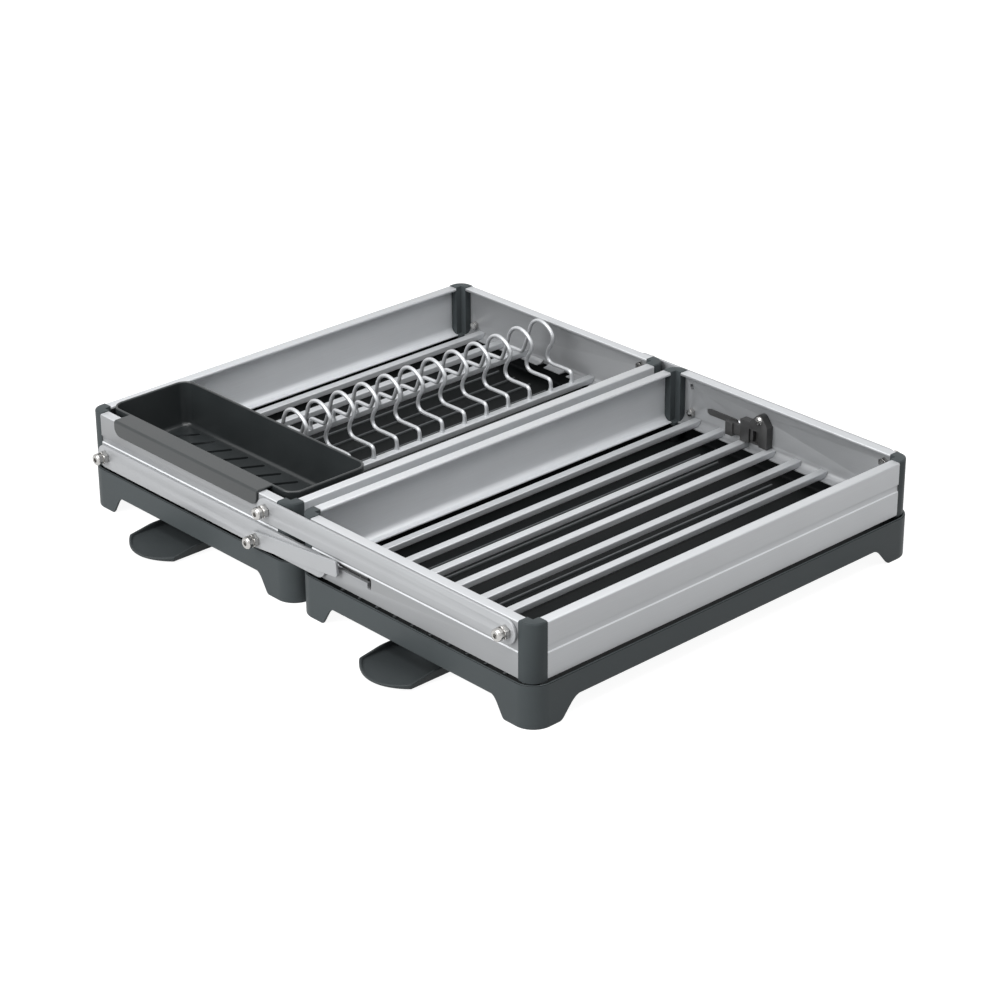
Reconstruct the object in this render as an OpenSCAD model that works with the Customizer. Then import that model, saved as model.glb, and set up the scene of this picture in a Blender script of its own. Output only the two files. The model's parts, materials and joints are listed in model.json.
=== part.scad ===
/* [Frames] */
// Length of each frame, along its rods
frame_l = 430; // [400:1:470]
// Width of each frame
frame_w = 268.4; // [255:0.1:290]
// Gap between the two frames when the rack lies open
frame_gap = 10.8; // [8:0.1:16]
// Height of the walls' lower edge over the counter
wall_z = 40; // [38.8:0.1:44]
// Height of each aluminium wall
wall_h = 47.5; // [44:0.5:52]
// Thickness of each wall's web
wall_t = 3; // [2.6:0.1:3.6]
// Width of the lip along the top of each wall
lip_w = 9.5; // [8:0.1:11]
// Thickness of that lip
lip_t = 3; // [2:0.1:3.6]
// Width of the ledge along the foot of each wall
ledge_w = 11.5; // [10:0.1:13]
// Thickness of that ledge
ledge_t = 1.2; // [1:0.1:1.6]
// Radius of the cove between a wall and its ledge
cove_r = 6; // [4:0.5:7]
// Height of the outer face's groove over the wall's lower edge
groove_z = 21.4; // [18:0.1:23]
// Height of the groove itself
groove_h = 6.6; // [4:0.1:8]
// Depth of the groove
groove_d = 0.9; // [0.4:0.1:1.2]
// Height of the slope at the groove's lower side
groove_slope = 0.9; // [0.3:0.1:1.5]

/* [Corner posts] */
// Length of a post along each of its two walls
post_s = 15.5; // [14:0.1:18]
// Radius of the post's outer corner
post_r = 12; // [9:0.5:13]
// Height of a post over the walls' upper edge
post_rise = 0.7; // [0.3:0.1:1.5]
// Drop of a post's foot below the walls' lower edge
post_drop = 1.5; // [0.8:0.1:1.8]
// Round at the top edge of a post
post_edge = 0.9; // [0.4:0.1:1.2]

/* [Rods] */
// Number of rods in a full row
rod_count = 8; // [8:1:8]
// Distance of the outermost rods from the frame's long sides
rod_from_side = 31.65; // [29:0.05:36]
// Width of a rod
rod_w = 7.7; // [6:0.1:9]
// Height of a rod
rod_h = 5.8; // [5:0.1:6.2]
// Round along a rod's edges
rod_edge = 1; // [0.5:0.1:1.5]

/* [Plate hoops] */
// Number of plate hoops
hoop_count = 12; // [6:1:12]
// Distance of the first hoop from the cutlery tray
hoop_from_cutlery = 17.5; // [12:0.1:30]
// Distance of the last hoop from the right end of the frame
hoop_from_end = 26.7; // [22:0.1:34]
// Diameter of the hoops' wire
wire_d = 3.2; // [2.5:0.1:4]
// Height of a hoop's centre line over the rods
hoop_h = 48; // [36:0.5:54]
// Distance of a hoop's feet from the middle of their rail
hoop_foot_in = 1.5; // [0:0.1:2]

/* [Drip trays] */
// Reach of a drip tray past its frame, all round
tray_over = 2.5; // [2:0.1:2.6]
// Further reach of a drip tray at its right end
tray_extra = 1.5; // [0:0.1:2]
// Height of a drip tray's rim over the counter
tray_rim_z = 37.4; // [36:0.1:38]
// Height of the skirt's lower edge over the counter
skirt_z = 17; // [15:0.5:18]
// Thickness of a drip tray's side
tray_t = 2.2; // [1.8:0.1:2.4]
// Corner radius of a drip tray
tray_r = 18; // [16:0.5:24]
// Height of a drip tray's floor over the counter
floor_z = 21.5; // [20.5:0.1:23]
// Thickness of that floor
floor_t = 2; // [1.5:0.1:2.2]
// Length of a foot along the tray's long side, at the counter
foot_long = 33; // [26:1:36]
// Length of a foot along the tray's short side, at the counter
foot_short = 27.5; // [24:0.5:32]
// How much longer a foot is where it meets the skirt
foot_flare = 15; // [8:0.5:18]
// Thickness of a foot's sole
sole_t = 2.5; // [2:0.1:4]
// Radius of the pad that carries a corner post
pad_r = 5.5; // [4:0.1:6]
// Distance from one floor rib to the next
rib_pitch = 21; // [15:0.5:30]
// Height of a floor rib
rib_h = 1.4; // [0.8:0.1:2]

/* [Spouts] */
// Width of a spout
spout_w = 60.5; // [50:0.5:66]
// Reach of a spout past its drip tray
spout_reach = 37.3; // [28:0.1:40]
// Distance from a spout's pivot to the drip tray's side
spout_pivot_in = 32.5; // [30:0.5:38]
// Height of a spout's underside over the counter
spout_z = 3; // [2.7:0.1:4]
// Thickness of a spout's floor and sides
spout_t = 2; // [1.6:0.1:2.4]
// Height of a spout's sides, from its underside
spout_h = 7.5; // [7:0.5:10]
// Bulge of a spout's outer edge
spout_bulge = 12.5; // [8:0.5:15]
// Round at a spout's outer corners
spout_corner = 2; // [1:0.5:5]
// Distance of the front spout from the middle of its drip tray
front_spout_off = -2.8; // [-20:0.1:20]
// Distance of the rear spout from the middle of its drip tray
rear_spout_off = 19.9; // [-20:0.1:24]
// Radius of the pin that a spout turns on
spout_pin_r = 3; // [2.5:0.1:4]

/* [Folding arms] */
// How much longer an arm is, between its pivots, than a frame and the gap
arm_over = 1.8; // [0:0.1:2.5]
// Width of an arm
arm_w = 20.5; // [18:0.1:21]
// Thickness of an arm
arm_t = 2.5; // [2:0.1:3]
// Distance of the lower arm's front pivot from the middle of the rack
low_pivot_y = 30; // [28:0.5:34]
// Height of the lower arm's pivots over the counter
low_pivot_z = 51; // [50.8:0.1:52]
// Distance of the upper arm's front pivot from the frame's outer side
high_pivot_in = 26.05; // [25:0.05:30]
// Height of the upper arm's pivots over the counter
high_pivot_z = 76.25; // [75:0.25:77]
// Distance between a brace's pivot and its pin
brace_l = 95; // [90:0.5:100]
// Width of a brace
brace_w = 14; // [12:0.5:16]
// Thickness of a brace
brace_t = 2.3; // [2:0.1:3]
// Distance of the brace's pivot behind the middle of the rack
brace_pivot_y = 44; // [43:0.5:50]
// Height of the brace's pivot over the counter
brace_pivot_z = 47.5; // [47:0.1:51]
// Rise of a brace from its pivot to its pin, as an angle
brace_tilt = 5.7; // [4:0.1:7]

/* [Bolts] */
// Radius of a bolt's shank
bolt_r = 3; // [2.5:0.1:3.4]
// Width across the flats of a bolt's collar
collar_af = 10.4; // [9:0.1:12]
// Thickness of that collar
collar_t = 4.4; // [3:0.1:5]
// Radius of a bolt's domed cap
cap_r = 5.2; // [4.5:0.1:6]
// Height of the cap
cap_h = 4.8; // [3.5:0.1:6]
// Width across the flats of the socket in the cap
socket_af = 4; // [3:0.1:5]
// Width across the flats of a nut
nut_af = 7; // [6.4:0.1:7.4]
// Thickness of a nut
nut_t = 4; // [3:0.1:5]
// Gap between pieces that turn or slide past each other
slip = 0.3; // [0.2:0.05:0.4]
// Gap around a pin in the hole that it turns in
running = 0.05; // [0.02:0.01:0.1]

/* [Brace slots and latches] */
// Distance of the slot's near end from the middle of the rack
slot_y = 48; // [45:0.5:52]
// Length of the slot, as far as its notch
slot_l = 44.7; // [40:0.1:50]
// Height of the slot's lower edge over the counter
slot_z = 55.5; // [54:0.1:57]
// Height of the slot itself
slot_h = 5; // [4.6:0.1:6]
// Depth of the notch at the slot's far end
notch_d = 5; // [3:0.5:6]
// Radius of the pin that runs in the slot
slot_pin_r = 2.1; // [1.8:0.1:2.2]
// Radius of the plain hole near the inner corner
plain_r = 2.5; // [2:0.1:3.5]
// Distance of that hole from the middle of the rack
plain_y = 29.2; // [27:0.1:40]
// Height of that hole over the counter
plain_z = 75; // [73:0.5:78]
// Distance of the latch housing from the middle of the rack
latch_y = 93.5; // [93:0.5:96]
// Length of the latch housing
latch_l = 31; // [30:0.5:38]
// Height of the latch housing's shoulders
latch_h = 20; // [17:0.5:22]
// Thickness of the latch housing
latch_t = 7.5; // [7:0.5:10]
// Length of the flat shoulder over the slider
shoulder_l = 10; // [8:0.5:12]
// Radius of the hump round the screw
hump_r = 5; // [4.6:0.1:6]
// Distance of the screw from the housing's outer end
screw_from_outer = 9.5; // [8:0.5:11]
// Height of the screw over the housing's foot
screw_h = 24.4; // [22:0.1:26]
// Width of the window that shows the slider's tail
window_w = 14.5; // [10:0.5:16]
// Height of that window
window_h = 13.5; // [10:0.5:15]
// Length of the slider that shows outside the housing
slider_l = 17.5; // [17:0.5:19]
// Length of the slider's grip
grip_l = 8.5; // [6:0.5:9]
// Height of the slider
slider_h = 12.5; // [11:0.5:14]
// Travel of the slider into the housing
slider_travel = 8; // [5:0.5:8]
// Radius of the latch screw's shank
screw_r = 1.5; // [1.2:0.1:2]
// Radius of the latch screw's head
screw_head_r = 4.2; // [3:0.1:4.6]

/* [Cutlery tray] */
// Width of the cutlery tray, along the rods
cutlery_w = 82.5; // [74:0.1:88]
// Distance of the cutlery tray from the frame's left end
cutlery_in = 14; // [13:0.1:18]
// Distance of the cutlery tray from the frame's inner long side
cutlery_from_mid = 13.9; // [13:0.1:20]
// Distance of the cutlery tray from the frame's outer long side
cutlery_from_outer = 10; // [9.9:0.1:20]
// Height of the cutlery tray's rim over the rods
cutlery_h = 43; // [42.6:0.1:46]
// Thickness of its sides and floor
cutlery_t = 2.2; // [1.8:0.1:2.8]
// Corner radius of its rim
cutlery_r = 12; // [8:0.5:16]
// How much its sides draw in towards the floor
cutlery_draft = 1.3; // [0.5:0.1:3]
// Distance from the tray's inner end to the hook
hook_from_end = 24.7; // [21:0.1:34]
// Distance from the tray's outer end to the hook
hook_from_far_end = 28.3; // [21:0.1:34]
// Drop of the hook's skirt below the wall's upper edge
hook_drop = 11.5; // [9:0.5:14]
// Thickness of the hook
hook_t = 2.2; // [1.8:0.1:3]
// Corner radius of the hook's skirt
hook_r = 8; // [3:0.5:9]
// Number of drain slots in its floor
drain_count = 10; // [6:1:10]
// Distance from the tray's outer end to the middle of the first drain slot
drain_from_far_end = 18.6; // [16:0.1:24]
// Distance from the tray's inner end to the middle of the last drain slot
drain_from_end = 25.2; // [20:0.1:30]
// Distance of the slots' tips from the tray's right side
drain_tip_in = 10; // [7:0.1:14]
// Width of a drain slot
drain_w = 3; // [2.5:0.1:5]
// Length of a drain slot
drain_l = 42; // [30:1:44]
// Slant of the drain slots
drain_slant = 30; // [20:1:32]

/* [Hidden] */
$fn = 48;
// Overrun of every cut past the face it starts from
cut = 0.5;

// Places along Y of a frame, as distances from the middle of the rack
inner_y = frame_gap / 2;
outer_y = inner_y + frame_w;
mid_y = inner_y + frame_w / 2;
end_x = frame_l / 2;
wall_top = wall_z + wall_h;
rod_top = wall_z + ledge_t + rod_h;
rod_pitch = (frame_w - 2 * rod_from_side) / (rod_count - 1);
arm_l = frame_w + frame_gap + arm_over;
high_pivot_y = outer_y - high_pivot_in;
// Planes of the arms and braces, outside the end walls
arm_x = end_x + slip;
arm_out = arm_x + arm_t;
brace_x = arm_out + slip;
brace_out = brace_x + brace_t;
bolt_h = collar_t + cap_h + collar_t / 4;
bolt_reach = brace_out + slip + bolt_h;
tray_x = end_x + tray_over;
spout_tip_x = tray_x + spout_reach;
// The origin lies under the middle of the whole rack's box
place_x = (spout_tip_x - bolt_reach) / 2;
// Rear ends of the two arms
low_rear_y = arm_l - low_pivot_y;
high_rear_y = arm_l - high_pivot_y;
spout_pivot_x = tray_x - spout_pivot_in;
front_spout_y = mid_y + front_spout_off;
rear_spout_y = mid_y + rear_spout_off;
// Posts stand on pads with this gap
pad_top = wall_z - post_drop - slip / 2;
post_top = wall_top + post_rise;
// Pad centres lie under the posts, in from the frame's outer faces
pad_in = post_s - pad_r - slip;

// Plain helpers for the two ends and the two frames
module placed() {
    translate([place_x, 0, 0]) children();
}
module at_left() {
    mirror([1, 0, 0]) children();
}
module in_front() {
    mirror([0, 1, 0]) children();
}
module at_both_ends() {
    children();
    at_left() children();
}

// A flat rectangle with round corners, its lower left corner at the origin
module round_rect(w, h, r) {
    translate([r, 0]) square([w - 2 * r, h]);
    translate([0, r]) square([w, h - 2 * r]);
    for (x = [r, w - r], y = [r, h - r]) translate([x, y]) circle(r = r);
}
// The same, centred
module round_rect_mid(w, h, r) {
    translate([-w / 2, -h / 2]) round_rect(w, h, r);
}
// A bar profile carried along X, its first axis turned to Y and its second to Z
module along_x(len) {
    rotate([90, 0, 90]) linear_extrude(len, center = true) children();
}
// A disc or hole outline carried outwards along X from a plane
module out_x(from, to) {
    translate([from, 0, 0]) rotate([90, 0, 90]) linear_extrude(to - from) children();
}

// Section of a wall: web, round lip, ledge, cove and outer groove
module wall_section() {
    difference() {
        union() {
            square([wall_t, wall_h - lip_t / 2]);
            translate([0, wall_h - lip_t]) round_rect(lip_w, lip_t, lip_t * lip_round_share);
            square([ledge_w, ledge_t]);
            square([wall_t + cove_r, ledge_t + cove_r]);
        }
        translate([wall_t + cove_r, ledge_t + cove_r]) circle(r = cove_r);
        polygon([
            [-cut, groove_z - groove_slope * cut / groove_d], [0, groove_z],
            [groove_d, groove_z + groove_slope], [groove_d, groove_z + groove_h],
            [-cut, groove_z + groove_h]
        ]);
    }
}
lip_round_share = 0.4;

module long_wall(y, inward) {
    translate([0, y, wall_z]) mirror([0, inward < 0 ? 1 : 0, 0])
        along_x(frame_l - 2 * post_s) wall_section();
}
module outer_wall() {
    color("silver") long_wall(outer_y, -1);
}
module inner_wall() {
    color("silver") long_wall(inner_y, 1);
}
// The right end wall of a frame, without its holes
module end_wall_blank() {
    translate([end_x, mid_y, wall_z]) rotate([0, 0, 90])
        along_x(frame_w - 2 * post_s) wall_section();
}
// A round hole through the right end wall
module end_hole(y, z, r) {
    out_x(end_x - wall_t - cut, end_x + cut) translate([y, z]) circle(r = r);
}
// Empty seats for the two rods that the rear frame leaves out
module ledge_seat(y) {
    translate([end_x - ledge_w - cut, y - rod_w / 2 - slip, wall_z - cut])
        cube([ledge_w - wall_t, rod_w + 2 * slip, ledge_t + rod_h / 2]);
}
module rear_end_wall() {
    color("silver") difference() {
        end_wall_blank();
        end_hole(low_rear_y, low_pivot_z, bolt_r + running);
        end_hole(high_rear_y, high_pivot_z, bolt_r + running);
        for (k = rear_empty) ledge_seat(rod_y(k));
    }
}
// The slot and notch that a brace's pin runs in, as an outline in Y and Z
module brace_slot() {
    translate([slot_y, slot_z]) round_rect(slot_l, slot_h, slot_h * slot_round_share);
    translate([slot_y + slot_l - notch_w, slot_z - notch_d])
        round_rect(notch_w, notch_d + slot_h, notch_w * notch_round_share);
}
slot_round_share = 0.3;
notch_round_share = 0.45;
notch_w = 2 * slot_pin_r + slip;
module front_end_wall() {
    color("silver") difference() {
        end_wall_blank();
        end_hole(low_pivot_y, low_pivot_z, bolt_r + running);
        end_hole(high_pivot_y, high_pivot_z, bolt_r + running);
        end_hole(plain_y, plain_z, plain_r);
        end_hole(screw_y, screw_z, screw_r + running);
        out_x(end_x - wall_t - cut, end_x + cut) brace_slot();
    }
}

// A corner post, its outer corner at the origin and its walls along +X and +Y
module post_outline(inset) {
    r = post_r - inset;
    intersection() {
        translate([inset, inset]) square(post_s - inset);
        union() {
            translate([post_r, 0]) square([post_s, post_s]);
            translate([0, post_r]) square([post_s, post_s]);
            translate([post_r, post_r]) circle(r = r);
        }
    }
}
module post_solid() {
    difference() {
        union() {
            translate([0, 0, wall_z - post_drop])
                linear_extrude(post_top - post_edge - wall_z + post_drop) post_outline(0);
            translate([0, 0, post_top - post_edge])
                linear_extrude(post_edge / 2) post_outline(post_edge / 4);
            translate([0, 0, post_top - post_edge / 2])
                linear_extrude(post_edge / 2) post_outline(post_edge);
        }
        translate([lip_w, lip_w, wall_z + ledge_t]) cube([post_s, post_s, wall_h + post_rise + cut]);
    }
}
// Posts of a frame at its right end
module outer_post() {
    color("dimgray") translate([end_x, outer_y, 0]) rotate([0, 0, 180]) post_solid();
}
module inner_post() {
    color("dimgray") translate([end_x, inner_y, 0]) rotate([0, 0, 90]) post_solid();
}

// Distance of a rod from the middle of the rack, counted from the inner side
function rod_y(k) = mid_y + (k - (rod_count + 1) / 2) * rod_pitch;
rear_empty = [4, 5];
rail_front_k = 3;
rail_back_k = 6;
// Side view of a rod's end, rounded below to sit in the cove
function rod_end(dir) = [
    for (i = [0 : rod_end_steps])
        let (a = 90 * i / rod_end_steps, r = cove_r - slip, x = end_x - wall_t - cove_r)
        [dir * (x + r * sin(a)), ledge_t + cove_r - r * cos(a) - slip]
];
rod_end_steps = 8;
module rod_side_view() {
    right = rod_end(1);
    left = rod_end(-1);
    top = ledge_t + rod_h;
    tip = end_x - wall_t - slip;
    polygon(concat(
        [[-tip, top + cut], [-tip, ledge_t + cove_r - slip]],
        [for (i = [rod_end_steps : -1 : 0]) left[i]],
        [[left[0][0] + slip, ledge_t], [right[0][0] - slip, ledge_t]],
        right,
        [[tip, top + cut]]
    ));
}
module rod(k) {
    color("gainsboro") translate([0, rod_y(k), wall_z]) intersection() {
        translate([0, 0, ledge_t + rod_h / 2])
            along_x(frame_l) round_rect_mid(rod_w, rod_h, rod_edge);
        rotate([90, 0, 0]) linear_extrude(rod_w + 2 * cut, center = true) rod_side_view();
    }
}

// Course of a hoop from its front foot to its back foot: the first number is
// a share of the distance between the feet, the second of the hoop's height
hoop_shares = [
    [0, 0], [0, 0.125], [0.014, 0.196], [0.051, 0.221], [0.171, 0.221],
    [0.288, 0.221], [0.349, 0.263], [0.374, 0.365], [0.351, 0.51],
    [0.304, 0.646], [0.295, 0.781], [0.342, 0.904], [0.424, 0.985],
    [0.509, 1], [0.589, 0.933], [0.638, 0.813], [0.662, 0.677],
    [0.708, 0.458], [0.751, 0.277], [0.778, 0.231], [0.824, 0.225],
    [0.947, 0.221], [0.986, 0.196], [1, 0.125], [1, 0]
];
hoop_y0 = rod_y(rail_front_k) + hoop_foot_in;
hoop_span = rod_y(rail_back_k) - hoop_foot_in - hoop_y0;
function hoop_point(i) = [
    hoop_y0 + hoop_span * hoop_shares[i][0],
    rod_top + hoop_h * hoop_shares[i][1]
];
// A smooth curve through four neighbouring points, at a share t of the middle gap
function smooth(a, b, c, d, t) = 0.5 * (
    2 * b + (c - a) * t + (2 * a - 5 * b + 4 * c - d) * t * t
    + (3 * b - a - 3 * c + d) * t * t * t
);
hoop_last = len(hoop_shares) - 1;
hoop_row = frame_l - hoop_from_end - cutlery_in - cutlery_w - hoop_from_cutlery;
hoop_pitch = hoop_row / (hoop_count - 1);
hoop_sub = 2;
hoop_sides = 8;
hoop_line = [
    for (i = [0 : hoop_last - 1], j = [0 : hoop_sub - 1])
        let (a = hoop_point(max(i - 1, 0)), b = hoop_point(i))
        let (c = hoop_point(i + 1), d = hoop_point(min(i + 2, hoop_last)))
        smooth(a, b, c, d, j / hoop_sub),
    hoop_point(hoop_last)
];
hoop_rings = len(hoop_line);
function unit(v) = v / norm(v);
function heading(i) = i == 0 || i == hoop_rings - 1
    ? [0, i == 0 ? 1 : -1]
    : unit(hoop_line[i + 1] - hoop_line[i - 1]);
function hoop_ring(i) = let (p = hoop_line[i], t = heading(i)) [
    for (s = [0 : hoop_sides - 1])
        let (a = 360 * (s + 0.5) / hoop_sides, n = wire_d / 2 * cos(a))
        [wire_d / 2 * sin(a), p[0] - t[1] * n, p[1] + t[0] * n]
];
hoop_points = [for (i = [0 : hoop_rings - 1]) each hoop_ring(i)];
hoop_faces = concat(
    [for (i = [0 : hoop_rings - 2], s = [0 : hoop_sides - 1], half = [0, 1])
        let (a = i * hoop_sides + s, b = i * hoop_sides + (s + 1) % hoop_sides)
        half == 0 ? [a, b, b + hoop_sides] : [a, b + hoop_sides, a + hoop_sides]],
    [for (s = [1 : hoop_sides - 2]) [0, s + 1, s]],
    [for (s = [1 : hoop_sides - 2])
        let (e = (hoop_rings - 1) * hoop_sides) [e, e + s, e + s + 1]]
);
module hoop() {
    polyhedron(points = hoop_points, faces = hoop_faces);
}
module plate_hoops() {
    color("whitesmoke") for (i = [0 : hoop_count - 1])
        translate([end_x - hoop_from_end - i * hoop_pitch, 0, 0]) hoop();
}

// Outline of a drip tray, drawn in from its outer face
module tray_outline(inset) {
    w = frame_l + 2 * (tray_over - inset) + tray_extra;
    h = frame_w + 2 * (tray_over - inset);
    translate([tray_extra / 2, mid_y]) round_rect_mid(w, h, tray_r - inset);
}
// Side view of a foot: straight at the sole, then flaring into the skirt
function foot_curve(base, steps) = [
    for (i = [0 : steps])
        let (t = i / steps)
        [base + foot_flare * (foot_straight_share * t + (1 - foot_straight_share) * pow(t, 5)),
         t * (skirt_z + cut)]
];
foot_straight_share = 0.45;
foot_steps = 10;
module foot_view(base) {
    polygon(concat([[0, skirt_z + cut], [0, 0]], foot_curve(base, foot_steps)));
}
// The foot at the corner of the right end and the outer side
module tray_foot() {
    intersection() {
        union() {
            linear_extrude(skirt_z + cut) difference() {
                tray_outline(0);
                tray_outline(tray_t);
            }
            linear_extrude(sole_t) tray_outline(tray_t / 2);
        }
        translate([tray_x + tray_extra, outer_y + tray_over, 0]) rotate([90, 0, 0])
            mirror([1, 0, 0]) linear_extrude(frame_w) foot_view(foot_long);
        translate([tray_x + tray_extra, outer_y + tray_over, 0]) rotate([90, 0, -90])
            linear_extrude(frame_l / 2) foot_view(foot_short);
    }
}
// The four corners of a tray whose middle lies at a distance along X
module at_tray_corners(mid_x) {
    for (m = [0, 1], n = [0, 1])
        translate([mid_x, mid_y, 0]) mirror([m, 0, 0]) mirror([0, n, 0])
            translate([-mid_x, -mid_y, 0]) children();
}
module drip_tray(pivot_y) {
    rib_n = floor((frame_w / 2 - tray_r) / rib_pitch);
    color("dimgray") difference() {
        union() {
            translate([0, 0, skirt_z]) linear_extrude(tray_rim_z - skirt_z) difference() {
                tray_outline(0);
                tray_outline(tray_t);
            }
            translate([0, 0, floor_z - floor_t]) linear_extrude(floor_t) tray_outline(tray_t / 2);
            at_tray_corners(tray_extra / 2) tray_foot();
            at_tray_corners(0) translate([end_x - pad_in, outer_y - pad_in, floor_z - floor_t / 2])
                cylinder(r = pad_r, h = pad_top - floor_z + floor_t / 2);
            for (i = [-rib_n : rib_n])
                translate([-end_x + tray_r, mid_y + i * rib_pitch, floor_z - floor_t / 2])
                    cube([frame_l - 2 * tray_r, rib_h, rib_h + floor_t / 2]);
            translate([-spout_pivot_x, pivot_y, boss_z])
                cylinder(r = boss_r, h = floor_z - floor_t / 2 - boss_z);
        }
        translate([-spout_pivot_x, pivot_y, boss_z - cut])
            cylinder(r = spout_pin_r + running, h = floor_z - floor_t - boss_z + cut);
        translate([-spout_pivot_x - boss_r - drain_gap, pivot_y, floor_z - floor_t - cut])
            translate([-drain_hole_w, -drain_hole_l / 2, 0])
            cube([drain_hole_w, drain_hole_l, floor_t + rib_h + 2 * cut]);
    }
}
boss_r = 2.4 * spout_pin_r;
boss_z = spout_z + spout_h + slip;
drain_gap = 3;
drain_hole_w = 8;
drain_hole_l = 30;

// Outline of a spout around its pivot, pointing to -X, drawn in by t
module spout_outline(t, extra) {
    half = spout_w / 2 - t;
    tip = spout_pivot_in + spout_reach + extra;
    circle(r = half);
    polygon(concat(
        [[0, -half]],
        [for (i = [-spout_steps : spout_steps])
            let (a = 90 * i / spout_steps)
            [-tip + spout_bulge * pow(sin(a), 2) + spout_corner * (1 - cos(a)), half * sin(a)]],
        [[0, half]]
    ));
}
spout_steps = 14;
module spout() {
    top = spout_z + spout_h;
    near = spout_pivot_in + spout_corner / 2;
    far = spout_pivot_in + spout_reach;
    color("dimgray") difference() {
        union() {
            difference() {
                translate([0, 0, spout_z]) linear_extrude(spout_h) spout_outline(0, 0);
                translate([0, 0, spout_z + spout_t])
                    linear_extrude(spout_h) spout_outline(spout_t, spout_corner);
                rotate([90, 0, 0]) linear_extrude(spout_w + 2 * cut, center = true)
                    polygon([[-near, top + cut], [-near, top], [-far, spout_z + spout_t],
                             [-far - cut, spout_z + spout_t], [-far - cut, top + cut]]);
            }
            translate([0, 0, spout_z]) cylinder(r = boss_r, h = spout_h);
        }
        translate([0, 0, spout_z - cut]) cylinder(r = spout_pin_r + running, h = spout_h + 2 * cut);
    }
}
module spout_at(y) {
    translate([-spout_pivot_x, y, 0]) children();
}
module spout_pin() {
    color("silver") {
        translate([0, 0, spout_z - slip - pin_head_t]) cylinder(r = 2 * spout_pin_r, h = pin_head_t);
        translate([0, 0, spout_z - slip - pin_head_t / 2])
            cylinder(r = spout_pin_r, h = floor_z - floor_t - spout_z + slip + pin_head_t / 2);
    }
}
pin_head_t = 1.6;

// A flat bar with round ends and a hole at each, as an outline in Y and Z
module bar_outline(a, b, w, ra, rb) {
    d = b - a;
    angle = atan2(d[1], d[0]);
    difference() {
        translate(a) rotate(angle) {
            translate([0, -w / 2]) square([norm(d), w]);
            circle(r = w / 2);
            translate([norm(d), 0]) circle(r = w / 2);
        }
        translate(a) circle(r = ra);
        translate(b) circle(r = rb);
    }
}
brace_pivot = [brace_pivot_y, brace_pivot_z];
brace_end = brace_pivot + brace_l * [-cos(brace_tilt), sin(brace_tilt)];
module lower_arm() {
    color("lightgray") out_x(arm_x, arm_out) difference() {
        bar_outline([-low_pivot_y, low_pivot_z], [low_rear_y, low_pivot_z], arm_w,
                    bolt_r + running, bolt_r + running);
        translate(brace_pivot) circle(r = bolt_r + running);
    }
}
module upper_arm() {
    color("lightgray") out_x(arm_x, arm_out)
        bar_outline([-high_pivot_y, high_pivot_z], [high_rear_y, high_pivot_z], arm_w,
                    bolt_r + running, bolt_r + running);
}
module brace() {
    color("lightgray") out_x(brace_x, brace_out)
        bar_outline(brace_end, brace_pivot, brace_w, slot_pin_r + running, bolt_r + running);
}
module brace_pin() {
    out_x(arm_x, brace_out) translate(brace_end) circle(r = slot_pin_r);
}

// Bolts stand along +X from a plane; the shank starts inside the wall
module shank(y, z, from, to, r) {
    out_x(from, to) translate([y, z]) circle(r = r);
}
function across(af) = af / sqrt(3);
module bolt_head(y, z, x) {
    neck = collar_t / 4;
    translate([x, y, z]) rotate([0, 90, 0]) difference() {
        union() {
            cylinder(r = across(collar_af), h = collar_t, $fn = 6);
            cylinder(r = cap_r * neck_share, h = collar_t + neck + cap_h / 2);
            translate([0, 0, collar_t + neck]) rotate_extrude() polygon(concat(
                [[0, 0], [cap_r, 0]],
                [for (i = [0 : cap_steps]) let (a = 90 * i / cap_steps)
                    [cap_r * (1 - cap_dome_share + cap_dome_share * cos(a)),
                     cap_h * (1 - cap_dome_share + cap_dome_share * sin(a))]],
                [[0, cap_h]]
            ));
        }
        translate([0, 0, bolt_h - cap_h / 2])
            cylinder(r = across(socket_af), h = cap_h, $fn = 6);
    }
}
neck_share = 0.75;
cap_dome_share = 0.45;
cap_steps = 6;
nut_x = end_x - wall_t;
module bolt(y, z, from, head_x) {
    shank(y, z, from, head_x + collar_t / 2, bolt_r);
    bolt_head(y, z, head_x);
}
module frame_bolt(y, z) {
    bolt(y, z, nut_x - nut_t - slip, brace_x);
}
// The hidden bolt of the lower arm's front pivot: its flat head lies in the arm
module flush_bolt() {
    shank(-low_pivot_y, low_pivot_z, nut_x - nut_t - slip, arm_out, bolt_r);
}
module nut(y, z) {
    translate([nut_x - nut_t, y, z]) rotate([0, 90, 0]) difference() {
        rotate(nut_turn) cylinder(r = across(nut_af), h = nut_t, $fn = 6);
        translate([0, 0, -cut]) cylinder(r = bolt_r + running, h = nut_t + 2 * cut);
    }
}
nut_turn = 0;

module rear_outer_bolts() {
    color("silver") at_both_ends() frame_bolt(low_rear_y, low_pivot_z);
}
module rear_inner_bolts() {
    color("silver") at_both_ends() frame_bolt(high_rear_y, high_pivot_z);
}
module front_outer_bolts() {
    color("silver") at_both_ends() frame_bolt(-high_pivot_y, high_pivot_z);
}
module front_inner_bolts() {
    color("silver") at_both_ends() flush_bolt();
}
module brace_bolts() {
    color("silver") at_both_ends()
        bolt(brace_pivot_y, brace_pivot_z, arm_x, brace_out + slip);
}
module rear_nuts() {
    color("silver") at_both_ends() {
        nut(low_rear_y, low_pivot_z);
        nut(high_rear_y, high_pivot_z);
    }
}
module front_nuts() {
    color("silver") at_both_ends() {
        nut(-low_pivot_y, low_pivot_z);
        nut(-high_pivot_y, high_pivot_z);
    }
}

// The latch inside each end of the front frame, drawn at the right end
latch_z = rod_top + 2 * slip;
latch_x = nut_x - slip / 2;
latch_face = latch_x - latch_t;
screw_y = latch_y + latch_l - screw_from_outer;
screw_z = latch_z + screw_h;
slider_wall = 2;
slider_z = latch_z + slider_wall;
slider_t = latch_t - 2 * slider_wall;
slider_tail = slider_l - slider_travel / 2;
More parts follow.
